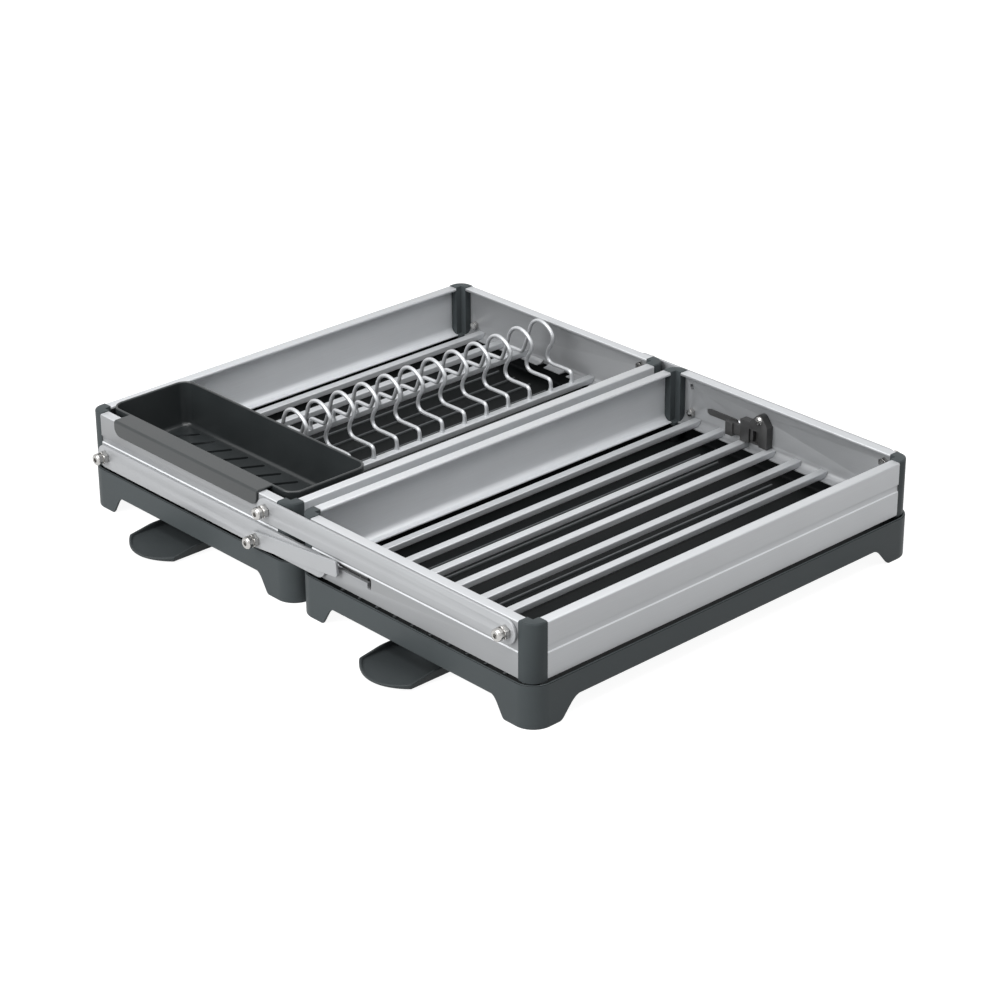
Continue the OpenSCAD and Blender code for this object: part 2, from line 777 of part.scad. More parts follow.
// Where the line from a corner touches the hump, on its left (1) or its right (-1)
function touch(corner, side) = let (
    reach = corner - [screw_y, screw_z],
    turn = atan2(reach[1], reach[0]) + side * acos(hump_r / norm(reach))
) [screw_y, screw_z] + hump_r * [cos(turn), sin(turn)];
module latch_outline() {
    shoulder_z = latch_z + latch_h;
    outer = [latch_y + latch_l, shoulder_z];
    inner = [latch_y + shoulder_l, shoulder_z];
    translate([screw_y, screw_z]) circle(r = hump_r);
    polygon([
        [latch_y, latch_z], [latch_y + latch_l, latch_z], outer, touch(outer, 1),
        touch(inner, -1), inner, [latch_y, shoulder_z]
    ]);
}
module latch_housing() {
    pocket_l = slider_tail + slider_travel + slip;
    pocket_h = slider_h - slider_wall + 2 * slip;
    window_y = latch_y + latch_l / 2 - window_w / 2 + slider_wall;
    color("black") difference() {
        out_x(latch_face, latch_x) latch_outline();
        translate([latch_face + slider_wall - slip, latch_y - cut, slider_z - slip])
            cube([slider_t + 2 * slip, pocket_l + cut, pocket_h]);
        translate([latch_face - cut, window_y, latch_z - cut])
            cube([slider_wall + cut, min(window_w, latch_y + pocket_l - window_y), window_h + cut]);
        end_hole_in_latch();
    }
}
module end_hole_in_latch() {
    out_x(latch_face - cut, latch_x + cut) translate([screw_y, screw_z])
        circle(r = screw_r + running);
}
module latch_slider() {
    color("black") {
        translate([latch_face + slider_wall, latch_y - slider_l, slider_z])
            cube([slider_t, slider_l + slider_tail, slider_h - slider_wall]);
        translate([latch_face, latch_y - slider_l, latch_z])
            cube([latch_t - slip, grip_l, slider_h]);
    }
}
module latch_screw() {
    shank(screw_y, screw_z, latch_face - cut, end_x - wall_t / 3, screw_r);
    translate([latch_face, screw_y, screw_z]) rotate([0, -90, 0]) difference() {
        rotate_extrude() polygon(concat(
            [[0, 0]],
            [for (i = [0 : cap_steps]) let (a = 90 * i / cap_steps)
                [screw_head_r * cos(a), screw_head_r * screw_dome_share * sin(a)]]
        ));
        for (turn = [0, 90]) rotate(turn)
            translate([-screw_head_r / 2, -screw_r / 4, screw_head_r * screw_dome_share / 2])
                cube([screw_head_r, screw_r / 2, screw_head_r]);
    }
}
screw_dome_share = 0.5;

// The cutlery tray hangs on the left wall and stands just over the rods
cutlery_x0 = -end_x + cutlery_in;
cutlery_y0 = inner_y + cutlery_from_mid;
cutlery_z0 = rod_top + slip;
cutlery_top = rod_top + cutlery_h;
cutlery_l = frame_w - cutlery_from_mid - cutlery_from_outer;
hook_l = cutlery_l - hook_from_end - hook_from_far_end;
drain_pitch = (cutlery_l - drain_from_end - drain_from_far_end) / (drain_count - 1);
// A thin slice of the tray's outline, drawn in by a distance
module cutlery_slice(inset, z) {
    translate([cutlery_x0 + inset, cutlery_y0 + inset, z]) linear_extrude(cut)
        round_rect(cutlery_w - 2 * inset, cutlery_l - 2 * inset, cutlery_r - inset, $fn = 32);
}
module cutlery_shell() {
    difference() {
        hull() {
            cutlery_slice(cutlery_draft, cutlery_z0);
            cutlery_slice(0, cutlery_top - cut);
        }
        hull() {
            cutlery_slice(cutlery_draft + cutlery_t, cutlery_z0 + cutlery_t);
            cutlery_slice(cutlery_t, cutlery_top);
        }
    }
}
module cutlery_hook() {
    y = cutlery_y0 + hook_from_end;
    top = wall_top + slip + hook_t;
    left = -end_x - slip - hook_t;
    translate([left + hook_t / 2, y, top - hook_t])
        cube([cutlery_x0 + cutlery_t - left - hook_t / 2, hook_l, hook_t]);
    translate([left + hook_t, y, top - hook_t])
        rotate([-90, 0, 0]) intersection() {
            cylinder(r = hook_t, h = hook_l);
            translate([-hook_t, -hook_t, 0]) cube([hook_t + cut, hook_t + cut, hook_l]);
        }
    translate([left, y, wall_top - hook_drop]) rotate([90, 0, 90]) linear_extrude(hook_t) {
        translate([hook_r, 0]) square([hook_l - 2 * hook_r, hook_drop]);
        translate([0, hook_r]) square([hook_l, hook_drop - hook_r + slip]);
        for (x = [hook_r, hook_l - hook_r]) intersection() {
            translate([x, hook_r]) circle(r = hook_r);
            square([hook_l, hook_drop]);
        }
    }
}
module drain_slots() {
    tip_x = cutlery_x0 + cutlery_w - drain_tip_in;
    for (i = [0 : drain_count - 1])
        translate([tip_x - drain_l / 2 * cos(drain_slant),
                   cutlery_y0 + drain_from_end + i * drain_pitch, cutlery_z0 - cut])
            rotate(-drain_slant) linear_extrude(cutlery_t + 2 * cut)
                round_rect_mid(drain_l, drain_w, drain_w / 2 - running, $fn = 16);
}
module cutlery_tray() {
    color("dimgray") difference() {
        union() {
            cutlery_shell();
            cutlery_hook();
        }
        drain_slots();
    }
}

placed() in_front() drip_tray(front_spout_y);  // front_drip_tray
placed() drip_tray(rear_spout_y);  // rear_drip_tray
placed() spout_at(-front_spout_y) spout();  // front_spout
placed() spout_at(rear_spout_y) spout();  // rear_spout
placed() spout_at(-front_spout_y) spout_pin();  // front_spout_pin
placed() spout_at(rear_spout_y) spout_pin();  // rear_spout_pin
placed() in_front() outer_wall();  // front_outer_wall
placed() in_front() inner_wall();  // front_inner_wall
placed() in_front() at_left() front_end_wall();  // front_left_wall
placed() in_front() front_end_wall();  // front_right_wall
placed() outer_wall();  // rear_outer_wall
placed() inner_wall();  // rear_inner_wall
placed() at_left() rear_end_wall();  // rear_left_wall
placed() rear_end_wall();  // rear_right_wall
placed() in_front() at_left() outer_post();  // front_outer_left_post
placed() in_front() outer_post();  // front_outer_right_post
placed() in_front() at_left() inner_post();  // front_inner_left_post
placed() in_front() inner_post();  // front_inner_right_post
placed() at_left() outer_post();  // rear_outer_left_post
placed() outer_post();  // rear_outer_right_post
placed() at_left() inner_post();  // rear_inner_left_post
placed() inner_post();  // rear_inner_right_post
placed() in_front() rod(1);  // front_rod_1
placed() in_front() rod(2);  // front_rod_2
placed() in_front() rod(3);  // front_rod_3
placed() in_front() rod(4);  // front_rod_4
placed() in_front() rod(5);  // front_rod_5
placed() in_front() rod(6);  // front_rod_6
placed() in_front() rod(7);  // front_rod_7
placed() in_front() rod(8);  // front_rod_8
placed() rod(1);  // rear_rod_1
placed() rod(2);  // rear_rod_2
placed() rod(7);  // rear_rod_3
placed() rod(8);  // rear_rod_4
placed() rod(rail_front_k);  // hoop_front_rail
placed() rod(rail_back_k);  // hoop_back_rail
placed() plate_hoops();
placed() cutlery_tray();
placed() at_left() lower_arm();  // left_lower_arm
placed() lower_arm();  // right_lower_arm
placed() at_left() upper_arm();  // left_upper_arm
placed() upper_arm();  // right_upper_arm
placed() at_left() brace();  // left_brace
placed() brace();  // right_brace
placed() color("silver") at_both_ends() brace_pin();  // brace_pins
placed() rear_outer_bolts();
placed() rear_inner_bolts();
placed() front_outer_bolts();
placed() front_inner_bolts();
placed() brace_bolts();
placed() rear_nuts();
placed() front_nuts();
placed() in_front() at_left() latch_housing();  // left_latch_housing
placed() in_front() latch_housing();  // right_latch_housing
placed() in_front() at_left() latch_slider();  // left_latch_slider
placed() in_front() latch_slider();  // right_latch_slider
placed() in_front() color("silver") at_both_ends() latch_screw();  // latch_screws
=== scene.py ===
"""A two-tier dish rack lying open: two aluminium trays on drip trays, joined by folding arms.

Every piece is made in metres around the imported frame. The front rack lies towards -Y, the
rear rack towards +Y, and the spouts and the cutlery tray are at the -X end.
"""
import json
import math

import bmesh
import bpy
import numpy as np
from mathutils import Matrix, Vector


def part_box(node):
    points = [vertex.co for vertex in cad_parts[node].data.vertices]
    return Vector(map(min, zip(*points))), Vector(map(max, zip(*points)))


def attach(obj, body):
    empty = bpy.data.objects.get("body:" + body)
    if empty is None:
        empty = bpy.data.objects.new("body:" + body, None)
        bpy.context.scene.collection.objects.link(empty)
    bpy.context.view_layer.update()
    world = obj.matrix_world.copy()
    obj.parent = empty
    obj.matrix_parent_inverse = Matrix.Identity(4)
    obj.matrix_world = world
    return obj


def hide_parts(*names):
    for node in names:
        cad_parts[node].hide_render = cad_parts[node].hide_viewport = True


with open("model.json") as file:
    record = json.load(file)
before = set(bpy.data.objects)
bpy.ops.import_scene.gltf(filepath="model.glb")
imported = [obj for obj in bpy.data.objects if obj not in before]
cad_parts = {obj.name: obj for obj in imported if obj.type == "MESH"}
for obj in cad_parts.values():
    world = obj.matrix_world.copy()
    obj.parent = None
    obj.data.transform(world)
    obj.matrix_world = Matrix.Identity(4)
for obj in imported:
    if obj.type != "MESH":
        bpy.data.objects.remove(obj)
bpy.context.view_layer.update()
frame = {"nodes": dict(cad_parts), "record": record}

MM = 0.001
NODE_BODY = {
    node: body
    for body, nodes in frame["record"]["behaviour"]["bodies"].items()
    for node in nodes
}
NODE_SLOT = {part["node"]: part["material_slot"] for part in frame["record"]["subparts"]}


def box(node):
    """The lowest and the highest corner of a CAD node."""
    low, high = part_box(node)
    return np.array(low), np.array(high)


def add_object(name, data):
    """A new object in the scene, for a mesh, a camera or a lamp."""
    obj = bpy.data.objects.new(name, data)
    bpy.context.scene.collection.objects.link(obj)
    return obj


# Middle of the two frames along the rods
MIDDLE_X = (box("front_left_wall")[0][0] + box("front_right_wall")[1][0]) / 2

# Camera: the photograph's own, as a target, a distance and three angles
CAMERA_TARGET = np.array([MIDDLE_X + 8.131 * MM, 0.0, 22.83 * MM])
CAMERA_DISTANCE = 2442.9 * MM
CAMERA_AZIMUTH = -42.948
CAMERA_ELEVATION = 25.657
CAMERA_ROLL = -0.308
CAMERA_LENS = 103.74
SENSOR_WIDTH = 36.0
CAMERA_NEAR = 0.05
CAMERA_FAR = 50


def make_camera():
    """A camera that looks at its target from an azimuth and an elevation, with a little roll."""
    azimuth, elevation, roll = np.radians([CAMERA_AZIMUTH, CAMERA_ELEVATION, CAMERA_ROLL])
    back = np.array([
        math.sin(azimuth) * math.cos(elevation),
        -math.cos(azimuth) * math.cos(elevation),
        math.sin(elevation),
    ])
    right = np.cross(-back, [0, 0, 1])
    right /= np.linalg.norm(right)
    up = np.cross(right, -back)
    turned_right = right * math.cos(roll) + up * math.sin(roll)
    turned_up = -right * math.sin(roll) + up * math.cos(roll)
    data = bpy.data.cameras.new("camera")
    data.lens = CAMERA_LENS
    data.sensor_width = SENSOR_WIDTH
    data.clip_start, data.clip_end = CAMERA_NEAR, CAMERA_FAR
    camera = add_object("camera", data)
    place = Matrix.Identity(4)
    place.col[0][:3] = turned_right
    place.col[1][:3] = turned_up
    place.col[2][:3] = back
    place.col[3][:3] = CAMERA_TARGET + back * CAMERA_DISTANCE
    camera.matrix_world = place
    bpy.context.scene.camera = camera


# Materials: how fine each pattern is, and how deep its relief
GRAIN_SCALE = 2600
GRAIN_RELIEF = 0.06 * MM
GRAIN_STRENGTH = 0.12
GRAIN_SHARE = 0.55
CLOUD_SCALE = 14
CLOUD_SHARE = 0.45
PEBBLE_SCALE = 1500
PEBBLE_RELIEF = 0.12 * MM
PEBBLE_STRENGTH = 0.16
FLOW_SCALE = 22
MARK_SCALE = 320
ALUMINIUM_TINT = (0.975, 1.0, 1.03)
PLASTIC_TINT = (0.86, 1.0, 1.05)
STEEL_TINT = (1, 0.985, 0.96)
# The noise's values between which a shade or a roughness runs
NOISE_LOW = 0.3
NOISE_HIGH = 0.7


def new_material(name):
    """A material with its node tree and its shader."""
    material = bpy.data.materials.new(name)
    material.use_nodes = True
    tree = material.node_tree
    return material, tree, tree.nodes["Principled BSDF"]


def add_node(tree, kind, **values):
    node = tree.nodes.new(kind)
    for key, value in values.items():
        setattr(node, key, value)
    return node


def noise_on_object(tree, scale, detail, stretch=(1, 1, 1), rough=0.5):
    """Noise on the piece's own coordinates, stretched along the axis whose share is small."""
    place = add_node(tree, "ShaderNodeTexCoord")
    mapping = add_node(tree, "ShaderNodeMapping")
    mapping.inputs["Scale"].default_value = stretch
    noise = add_node(tree, "ShaderNodeTexNoise")
    noise.inputs["Scale"].default_value = scale
    noise.inputs["Detail"].default_value = detail
    noise.inputs["Roughness"].default_value = rough
    tree.links.new(place.outputs["Object"], mapping.inputs["Vector"])
    tree.links.new(mapping.outputs["Vector"], noise.inputs["Vector"])
    return noise.outputs["Fac"]


def shade_range(tree, fac, low, high):
    """A colour that runs from low to high as the noise does."""
    ramp = add_node(tree, "ShaderNodeValToRGB")
    ramp.color_ramp.elements[0].position = NOISE_LOW
    ramp.color_ramp.elements[1].position = NOISE_HIGH
    ramp.color_ramp.elements[0].color = (*low, 1)
    ramp.color_ramp.elements[1].color = (*high, 1)
    tree.links.new(fac, ramp.inputs["Fac"])
    return ramp.outputs["Color"]


def value_range(tree, fac, low, high):
    """A number that runs from low to high as the noise does."""
    spread = add_node(tree, "ShaderNodeMapRange")
    spread.inputs["From Min"].default_value = NOISE_LOW
    spread.inputs["From Max"].default_value = NOISE_HIGH
    spread.inputs["To Min"].default_value = low
    spread.inputs["To Max"].default_value = high
    tree.links.new(fac, spread.inputs["Value"])
    return spread.outputs["Result"]


def bump_from(tree, fac, strength, distance):
    """Relief as high as the noise."""
    bump = add_node(tree, "ShaderNodeBump")
    bump.inputs["Strength"].default_value = strength
    bump.inputs["Distance"].default_value = distance
    tree.links.new(fac, bump.inputs["Height"])
    return bump.outputs["Normal"]


def tone(level, tint=(1, 1, 1)):
    """A grey of a level, with a tint."""
    return tuple(level * t for t in tint)


def anodised(name, level, stretch, metal, rough=(0.36, 0.46)):
    """Satin anodised aluminium: a fine grain drawn out along the bar, and a slow cloudiness."""
    material, tree, shader = new_material(name)
    grain = noise_on_object(tree, GRAIN_SCALE, 3, stretch)
    cloud = noise_on_object(tree, CLOUD_SCALE, 2)
    mixed = add_node(tree, "ShaderNodeMath", operation="MULTIPLY_ADD")
    mixed.inputs[1].default_value = GRAIN_SHARE
    tree.links.new(grain, mixed.inputs[0])
    part_cloud = add_node(tree, "ShaderNodeMath", operation="MULTIPLY")
    part_cloud.inputs[1].default_value = CLOUD_SHARE
    tree.links.new(cloud, part_cloud.inputs[0])
    tree.links.new(part_cloud.outputs[0], mixed.inputs[2])
    dark, light = tone(level * 0.95, ALUMINIUM_TINT), tone(level * 1.04, ALUMINIUM_TINT)
    shade = shade_range(tree, mixed.outputs[0], dark, light)
    tree.links.new(shade, shader.inputs["Base Color"])
    tree.links.new(value_range(tree, grain, *rough), shader.inputs["Roughness"])
    relief = bump_from(tree, grain, GRAIN_STRENGTH, GRAIN_RELIEF)
    tree.links.new(relief, shader.inputs["Normal"])
    shader.inputs["Metallic"].default_value = metal
    return material


def moulded(name, level, shine, rough=(0.46, 0.58), tint=PLASTIC_TINT):
    """Moulded plastic: a fine pebbled grain, with faint flow marks in its shade."""
    material, tree, shader = new_material(name)
    pebbles = noise_on_object(tree, PEBBLE_SCALE, 2, rough=0.6)
    flow = noise_on_object(tree, FLOW_SCALE, 3)
    shade = shade_range(tree, flow, tone(level * 0.93, tint), tone(level * 1.08, tint))
    tree.links.new(shade, shader.inputs["Base Color"])
    tree.links.new(value_range(tree, flow, *rough), shader.inputs["Roughness"])
    relief = bump_from(tree, pebbles, PEBBLE_STRENGTH, PEBBLE_RELIEF)
    tree.links.new(relief, shader.inputs["Normal"])
    shader.inputs["Specular IOR Level"].default_value = shine
    return material


def polished(name, level, rough=(0.16, 0.28)):
    """Bright steel with faint handling marks."""
    material, tree, shader = new_material(name)
    marks = noise_on_object(tree, MARK_SCALE, 4, rough=0.65)
    dark, light = tone(level * 0.93, STEEL_TINT), tone(level * 1.05, STEEL_TINT)
    shade = shade_range(tree, marks, dark, light)
    tree.links.new(shade, shader.inputs["Base Color"])
    tree.links.new(value_range(tree, marks, *rough), shader.inputs["Roughness"])
    shader.inputs["Metallic"].default_value = 1.0
    return material


# Ways of the grain: drawn out along a bar, or even
ALONG_X = (0.012, 1, 1)
ALONG_Y = (1, 0.012, 1)
EVEN = (1, 1, 1)
FINISH = {
    # The walls are one aluminium in three levels, with painted light and shade in them: the end
    # walls, along Y, are a darker copy as painted shade, the long walls seen from inside a lighter
    # copy as painted light
    "wall_along_x": anodised("wall_along_x", 0.67, ALONG_X, metal=0.15),
    "wall_along_y_painted_shade": anodised("wall_along_y_painted_shade", 0.345, ALONG_Y, metal=0.15),
    "wall_inside_painted_light": anodised("wall_inside_painted_light", 0.82, ALONG_X, metal=0.15),
    # Painted light: the rims' up-facing faces keep one light level of their own, above the end
    # walls' painted shade
    "rim": anodised("rim_painted_light", 0.64, EVEN, metal=0.2),
    # Painted highlight: the up-facing ledge of the walls' groove, in a bright copy of the aluminium
    "groove_painted_highlight": anodised("bright_groove_painted_highlight", 0.92, EVEN, metal=0.1),
    "rod": anodised("rod_aluminium", 0.64, ALONG_X, metal=0.25),
    "arm": anodised("arm_aluminium", 0.455, ALONG_Y, metal=0.2),
    "hoop": anodised("hoop_wire", 0.62, EVEN, rough=(0.3, 0.4), metal=0.4),
    "tray": moulded("tray_plastic", 0.078, shine=0.2),
    # Painted shade: the trays' inside, below the rim, in a near-black copy of their plastic
    "tray_painted_shade": moulded("tray_painted_shade_plastic", 0.008, shine=0.12),
    # Painted highlight: the ribs on the trays' floors, in a lighter copy of their plastic
    "tray_rib_highlight": moulded("tray_rib_highlight_plastic", 0.13, tint=(0.94, 1.0, 1.04), shine=0.2),
    "post": moulded("post_plastic", 0.075, shine=0.12),
    "cutlery": moulded("cutlery_plastic", 0.03, rough=(0.28, 0.38), shine=0.6),
    "spout": moulded("spout_plastic", 0.042, shine=0.25),
    "latch": moulded("latch_plastic", 0.05, rough=(0.3, 0.42), tint=EVEN, shine=0.5),
    "steel": polished("bright_steel", 0.45),
}
SLOT_FINISH = {
    "anodised_rod": "rod",
    "anodised_arm": "arm",
    "post_plastic": "post",
    "tray_plastic": "tray",
    "cutlery_plastic": "cutlery",
    "spout_plastic": "spout",
    "latch_plastic": "latch",
    "hoop_wire": "hoop",
    "bright_steel": "steel",
}


# The long walls whose inner face looks to the front, which get a lighter copy of the aluminium as
# painted light, and the other two
SEEN_FROM_INSIDE = {"front_inner_wall", "rear_outer_wall"}
SEEN_FROM_OUTSIDE = {"front_outer_wall", "rear_inner_wall"}


def finish_of(node):
    """A node's finish, by its slot and, for a wall, by the way it runs and looks; a wall's level
    carries painted light or shade by the side it shows.
    """
    slot = NODE_SLOT[node]
    if node == "brace_pins":
        return FINISH["arm"]
    if node in SEEN_FROM_INSIDE:
        return FINISH["wall_inside_painted_light"]
    if slot == "anodised_wall":
        return FINISH["wall_along_x" if node in SEEN_FROM_OUTSIDE else "wall_along_y_painted_shade"]
    return FINISH[SLOT_FINISH[slot]]


# Surfaces: every shell is a pair, its points and its faces, which point outwards
def grid_faces(rows, columns, closed=False):
    """Quads over a grid of rows by columns; closed joins the last column to the first."""
    r = np.arange(rows - 1)[:, None]
    c = np.arange(columns if closed else columns - 1)[None, :]
    d = (c + 1) % columns
    here, above = r * columns, (r + 1) * columns
    return np.stack([here + c, here + d, above + d, above + c], -1).reshape(-1, 4).tolist()


def closed_grid(rings):
    """Rings of points joined into a skin, with a flat face over the first and the last ring.

    The rings run counter-clockwise about their own axis and follow one another along it.
    """
    count, sides = rings.shape[:2]
    first = list(range(sides))[::-1]
    last = list(range((count - 1) * sides, count * sides))
    return rings.reshape(-1, 3), grid_faces(count, sides, closed=True) + [first, last]


def prism(outline, low, high, axis=2):
    """An outline, counter-clockwise as seen against its axis, carried from low to high."""
    ring = np.empty((2, len(outline), 3))
    ring[..., (axis + 1) % 3] = outline[:, 0]
    ring[..., (axis + 2) % 3] = outline[:, 1]
    ring[0, :, axis], ring[1, :, axis] = low, high
    return closed_grid(ring)


def turned(profile, centre, sides=32):
    """A profile of radius and height carried round an upright axis through the centre."""
    angle = np.arange(sides) * 2 * np.pi / sides
    ring = np.empty((len(profile), sides, 3))
    ring[..., 0] = centre[0] + profile[:, :1] * np.cos(angle)
    ring[..., 1] = centre[1] + profile[:, :1] * np.sin(angle)
    ring[..., 2] = profile[:, 1:]
    return closed_grid(ring)


def moved(shell, offset):
    """A shell with its points shifted by an offset."""
    return shell[0] + np.asarray(offset), shell[1]


def mirrored_x(shell, middle):
    """The other end's shell: its points mirrored about the middle, its faces turned round."""
    points = shell[0].copy()
    points[:, 0] = 2 * middle - points[:, 0]
    return points, [face[::-1] for face in shell[1]]


def mesh_of(name, shells, smooth=True):
    """One mesh from several shells."""
    points, faces, first = [], [], 0
    for shell_points, shell_faces in shells:
        points.append(shell_points)
        faces += [[first + i for i in face] for face in shell_faces]
        first += len(shell_points)
    mesh = bpy.data.meshes.new(name)
    mesh.from_pydata(np.vstack(points), [], faces)
    mesh.polygons.foreach_set("use_smooth", np.full(len(mesh.polygons), smooth))
    mesh.update()
    return mesh


def adopt(obj, node):
    """Gives a piece its CAD node's finish, body and slot, and lets it stand for that node."""
    obj.data.materials.clear()
    obj.data.materials.append(finish_of(node))
    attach(obj, NODE_BODY[node])
    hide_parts(node)


# The least angle at which an edge of a new piece shades as a sharp one
SHARP_ANGLE = math.radians(38)


def new_piece(name, shells, node, holes=(), extras=()):
    """A piece that stands for a CAD node: shells, less its holes, with extra shells set in."""
    obj = add_object(name, mesh_of(name, shells))
    if holes:
        cut_through(obj, holes)
    if extras:
        work = bmesh.new()
        work.from_mesh(obj.data)
        work.from_mesh(mesh_of("extras", extras))
        work.to_mesh(obj.data)
        work.free()
    obj.data.set_sharp_from_angle(angle=SHARP_ANGLE)
    even = obj.modifiers.new("even_normals", "WEIGHTED_NORMAL")
    even.keep_sharp = True
    adopt(obj, node)
    return obj


def cut_through(obj, holes):
    """Takes closed shells out of a piece, so that its holes are true ones."""
    cutter = add_object("cutter", mesh_of("cutter", holes, smooth=False))
    step = obj.modifiers.new("holes", "BOOLEAN")
    step.operation = "DIFFERENCE"
    step.solver = "EXACT"
    step.object = cutter
    view = bpy.context.evaluated_depsgraph_get()
    finished = bpy.data.meshes.new_from_object(obj.evaluated_get(view))
    obj.modifiers.remove(step)
    obj.data = finished
    bpy.data.objects.remove(cutter)


def faces_of(obj):
    """The centres and the normals of a mesh's faces."""
    faces = obj.data.polygons
    centres, normals = np.empty(len(faces) * 3), np.empty(len(faces) * 3)
    faces.foreach_get("center", centres)
    faces.foreach_get("normal", normals)
    return centres.reshape(-1, 3), normals.reshape(-1, 3)


def refinish(obj, chosen, material):
    """Gives the chosen faces a finish of their own."""
    mesh = obj.data
    indices = np.empty(len(mesh.polygons), dtype=np.int32)
    mesh.polygons.foreach_get("material_index", indices)
    indices[chosen] = len(mesh.materials)
    mesh.materials.append(material)
    mesh.polygons.foreach_set("material_index", indices)


# Depth from a wall's top within which its rim's painted light lies, and heights over its foot
# between which its groove's slope lies, whose up-facing ledge gets a painted highlight
RIM_DEPTH = 2 * MM
GROOVE_LOW = 20 * MM
GROOVE_HIGH = 24 * MM
# The least upward share of the normal of a face that looks up, and of one that slopes up
LOOKS_UP = 0.5
SLOPES_UP = 0.3
# How near two points of a CAD copy are one, and how nearly flat two of its faces are one
SAME_POINT = 0.002 * MM
SAME_FLAT_ANGLE = 0.4
# The least angle, in degrees, at which an edge of a CAD copy is rounded
COPY_EDGE_ANGLE = 32


def round_edges(obj, width, segments, angle):
    """Rounds the edges that are sharper than an angle in degrees."""
    bevel = obj.modifiers.new("edges", "BEVEL")
    bevel.width = width
    bevel.segments = segments
    bevel.limit_method = "ANGLE"
    bevel.angle_limit = math.radians(angle)
    bevel.harden_normals = True


def soften(node, width, segments):
    """A copy of a CAD node with its doubles merged, its flats joined and its edges rounded."""
    mesh = frame["nodes"][node].data.copy()
    mesh.name = node + "_dressed"
    work = bmesh.new()
    work.from_mesh(mesh)
    bmesh.ops.remove_doubles(work, verts=work.verts, dist=SAME_POINT)
    bmesh.ops.dissolve_limit(
        work, angle_limit=math.radians(SAME_FLAT_ANGLE), verts=work.verts, edges=work.edges,
    )
    work.to_mesh(mesh)
    work.free()
    obj = add_object(node + "_dressed", mesh)
    mesh.polygons.foreach_set("use_smooth", np.full(len(mesh.polygons), True))
    round_edges(obj, width, segments, COPY_EDGE_ANGLE)
    adopt(obj, node)
    if NODE_SLOT[node] == "anodised_wall":
        bottom, top = box(node)[0][2], box(node)[1][2]
        centres, normals = faces_of(obj)
        height, looks_up = centres[:, 2], normals[:, 2] > LOOKS_UP
        # Painted light and highlight: the up-facing faces of the rim and of the groove's ledge get
        # lighter finishes
        refinish(obj, looks_up & (height > top - RIM_DEPTH), FINISH["rim"])
        in_groove = (height > bottom + GROOVE_LOW) & (height < bottom + GROOVE_HIGH)
        refinish(obj, looks_up & in_groove, FINISH["groove_painted_highlight"])


# Outlines and profiles
def rounded_rectangle(width, length, radius, arc_steps=12, stops=None):
    """Points of a rectangle with round corners about the origin, and their outward normals.

    Each side is a straight run with points at the given shares of its length, and each corner
    is a quarter circle: centre + radius (cos a, sin a).
    """
    stops = stops or [np.array([0, 0.5, 1])] * 2
    half = np.array([width / 2 - radius, length / 2 - radius])
    points, normals = [], []
    for turn, sign in enumerate([(1, 1), (-1, 1), (-1, -1), (1, -1)]):
        start = np.pi / 2 * turn
        normal = np.array([np.cos(start), np.sin(start)])
        along = np.array([-normal[1], normal[0]])
        centre = half * sign
        side = 2 * half[1 - turn % 2]
        shares = stops[turn % 2][:-1]
        points.append(centre + radius * normal - along * side + shares[:, None] * side * along)
        normals.append(np.tile(normal, (len(shares), 1)))
        angle = start + np.pi / 2 * np.arange(arc_steps) / arc_steps
        spread = np.column_stack([np.cos(angle), np.sin(angle)])
        points.append(centre + radius * spread)
        normals.append(spread)
    return np.vstack(points), np.vstack(normals)


def arc_rows(inset, height, radius, start, end, steps=4):
    """Rows of a round edge: inset + radius cos a, height + radius sin a, from start to end."""
    return [
        (inset + radius * math.cos(a), height + radius * math.sin(a))
        for a in np.radians(np.linspace(start, end, steps + 1))
    ]


def carried_round(outline, rows):
    """A profile of insets and heights carried round an outline, closed by two flat faces.

    Each row's points are the outline's, moved in along its normals by the inset and lifted to
    the height, which is a number or one height for each point.
    """
    points, normals = outline
    rings = np.empty((len(rows), len(points), 3))
    for ring, (inset, height) in zip(rings, rows):
        ring[:, :2] = points - inset * normals
        ring[:, 2] = height
    return closed_grid(rings)


def rounded_bar(width, height, edge):
    """Section of a low bar whose upper edges are drawn in."""
    return np.array([
        [0, 0], [width, 0], [width, height - edge], [width - edge, height], [edge, height],
        [0, height - edge],
    ])


# Drip trays: a name with Z is a height over the counter
TRAY_RADIUS = 18 * MM
TRAY_WALL = 2.2 * MM
TRAY_RIM_Z = 37.4 * MM
SKIRT_Z = 17 * MM
FLOOR_UNDER_Z = 19.5 * MM
FLOOR_Z = 21.5 * MM
FLOOR_ROUND = 3 * MM
LIP_ROUND = 0.8 * MM
# Depth of the rim's crown that keeps the outside's finish, out of the inside's painted shade
RIM_LIGHT = 0.25 * MM
FRAME_HALF_LENGTH = 215 * MM
FRAME_HALF_WIDTH = 134.2 * MM
FOOT_LONG = 30.5 * MM
FOOT_SHORT = 32 * MM
SLANT_LONG = 14.5 * MM
SLANT_SHORT = 10 * MM
SOLE_EASE = 3 * MM
SKIRT_EASE = 6.5 * MM
SOLE_THICK = 2.5 * MM
# How deep an added form is sunk into what carries it
SUNK = 0.5 * MM
PAD_RADIUS = 5.5 * MM
PAD_IN = 9.7 * MM
PAD_ROUND = 0.5 * MM
RIB_PITCH = 21 * MM
RIB_SIZE = 1.7 * MM
RIB_EDGE = 0.35 * MM
RIB_COUNT = 11
PIVOT_BOSS_RADIUS = 7.2 * MM
PIVOT_BOSS_LOW_Z = 10.8 * MM
DRAIN_WIDTH = 8 * MM
DRAIN_LENGTH = 30 * MM
DRAIN_FROM_PIVOT = 10.2 * MM


def eased(height, ease):
    """Nought below, the height itself above, and (height + ease)^2 / (4 ease) between them."""
    between = (np.clip(height, -ease, ease) + ease) ** 2 / (4 * ease)
    return np.where(height < ease, between, height)


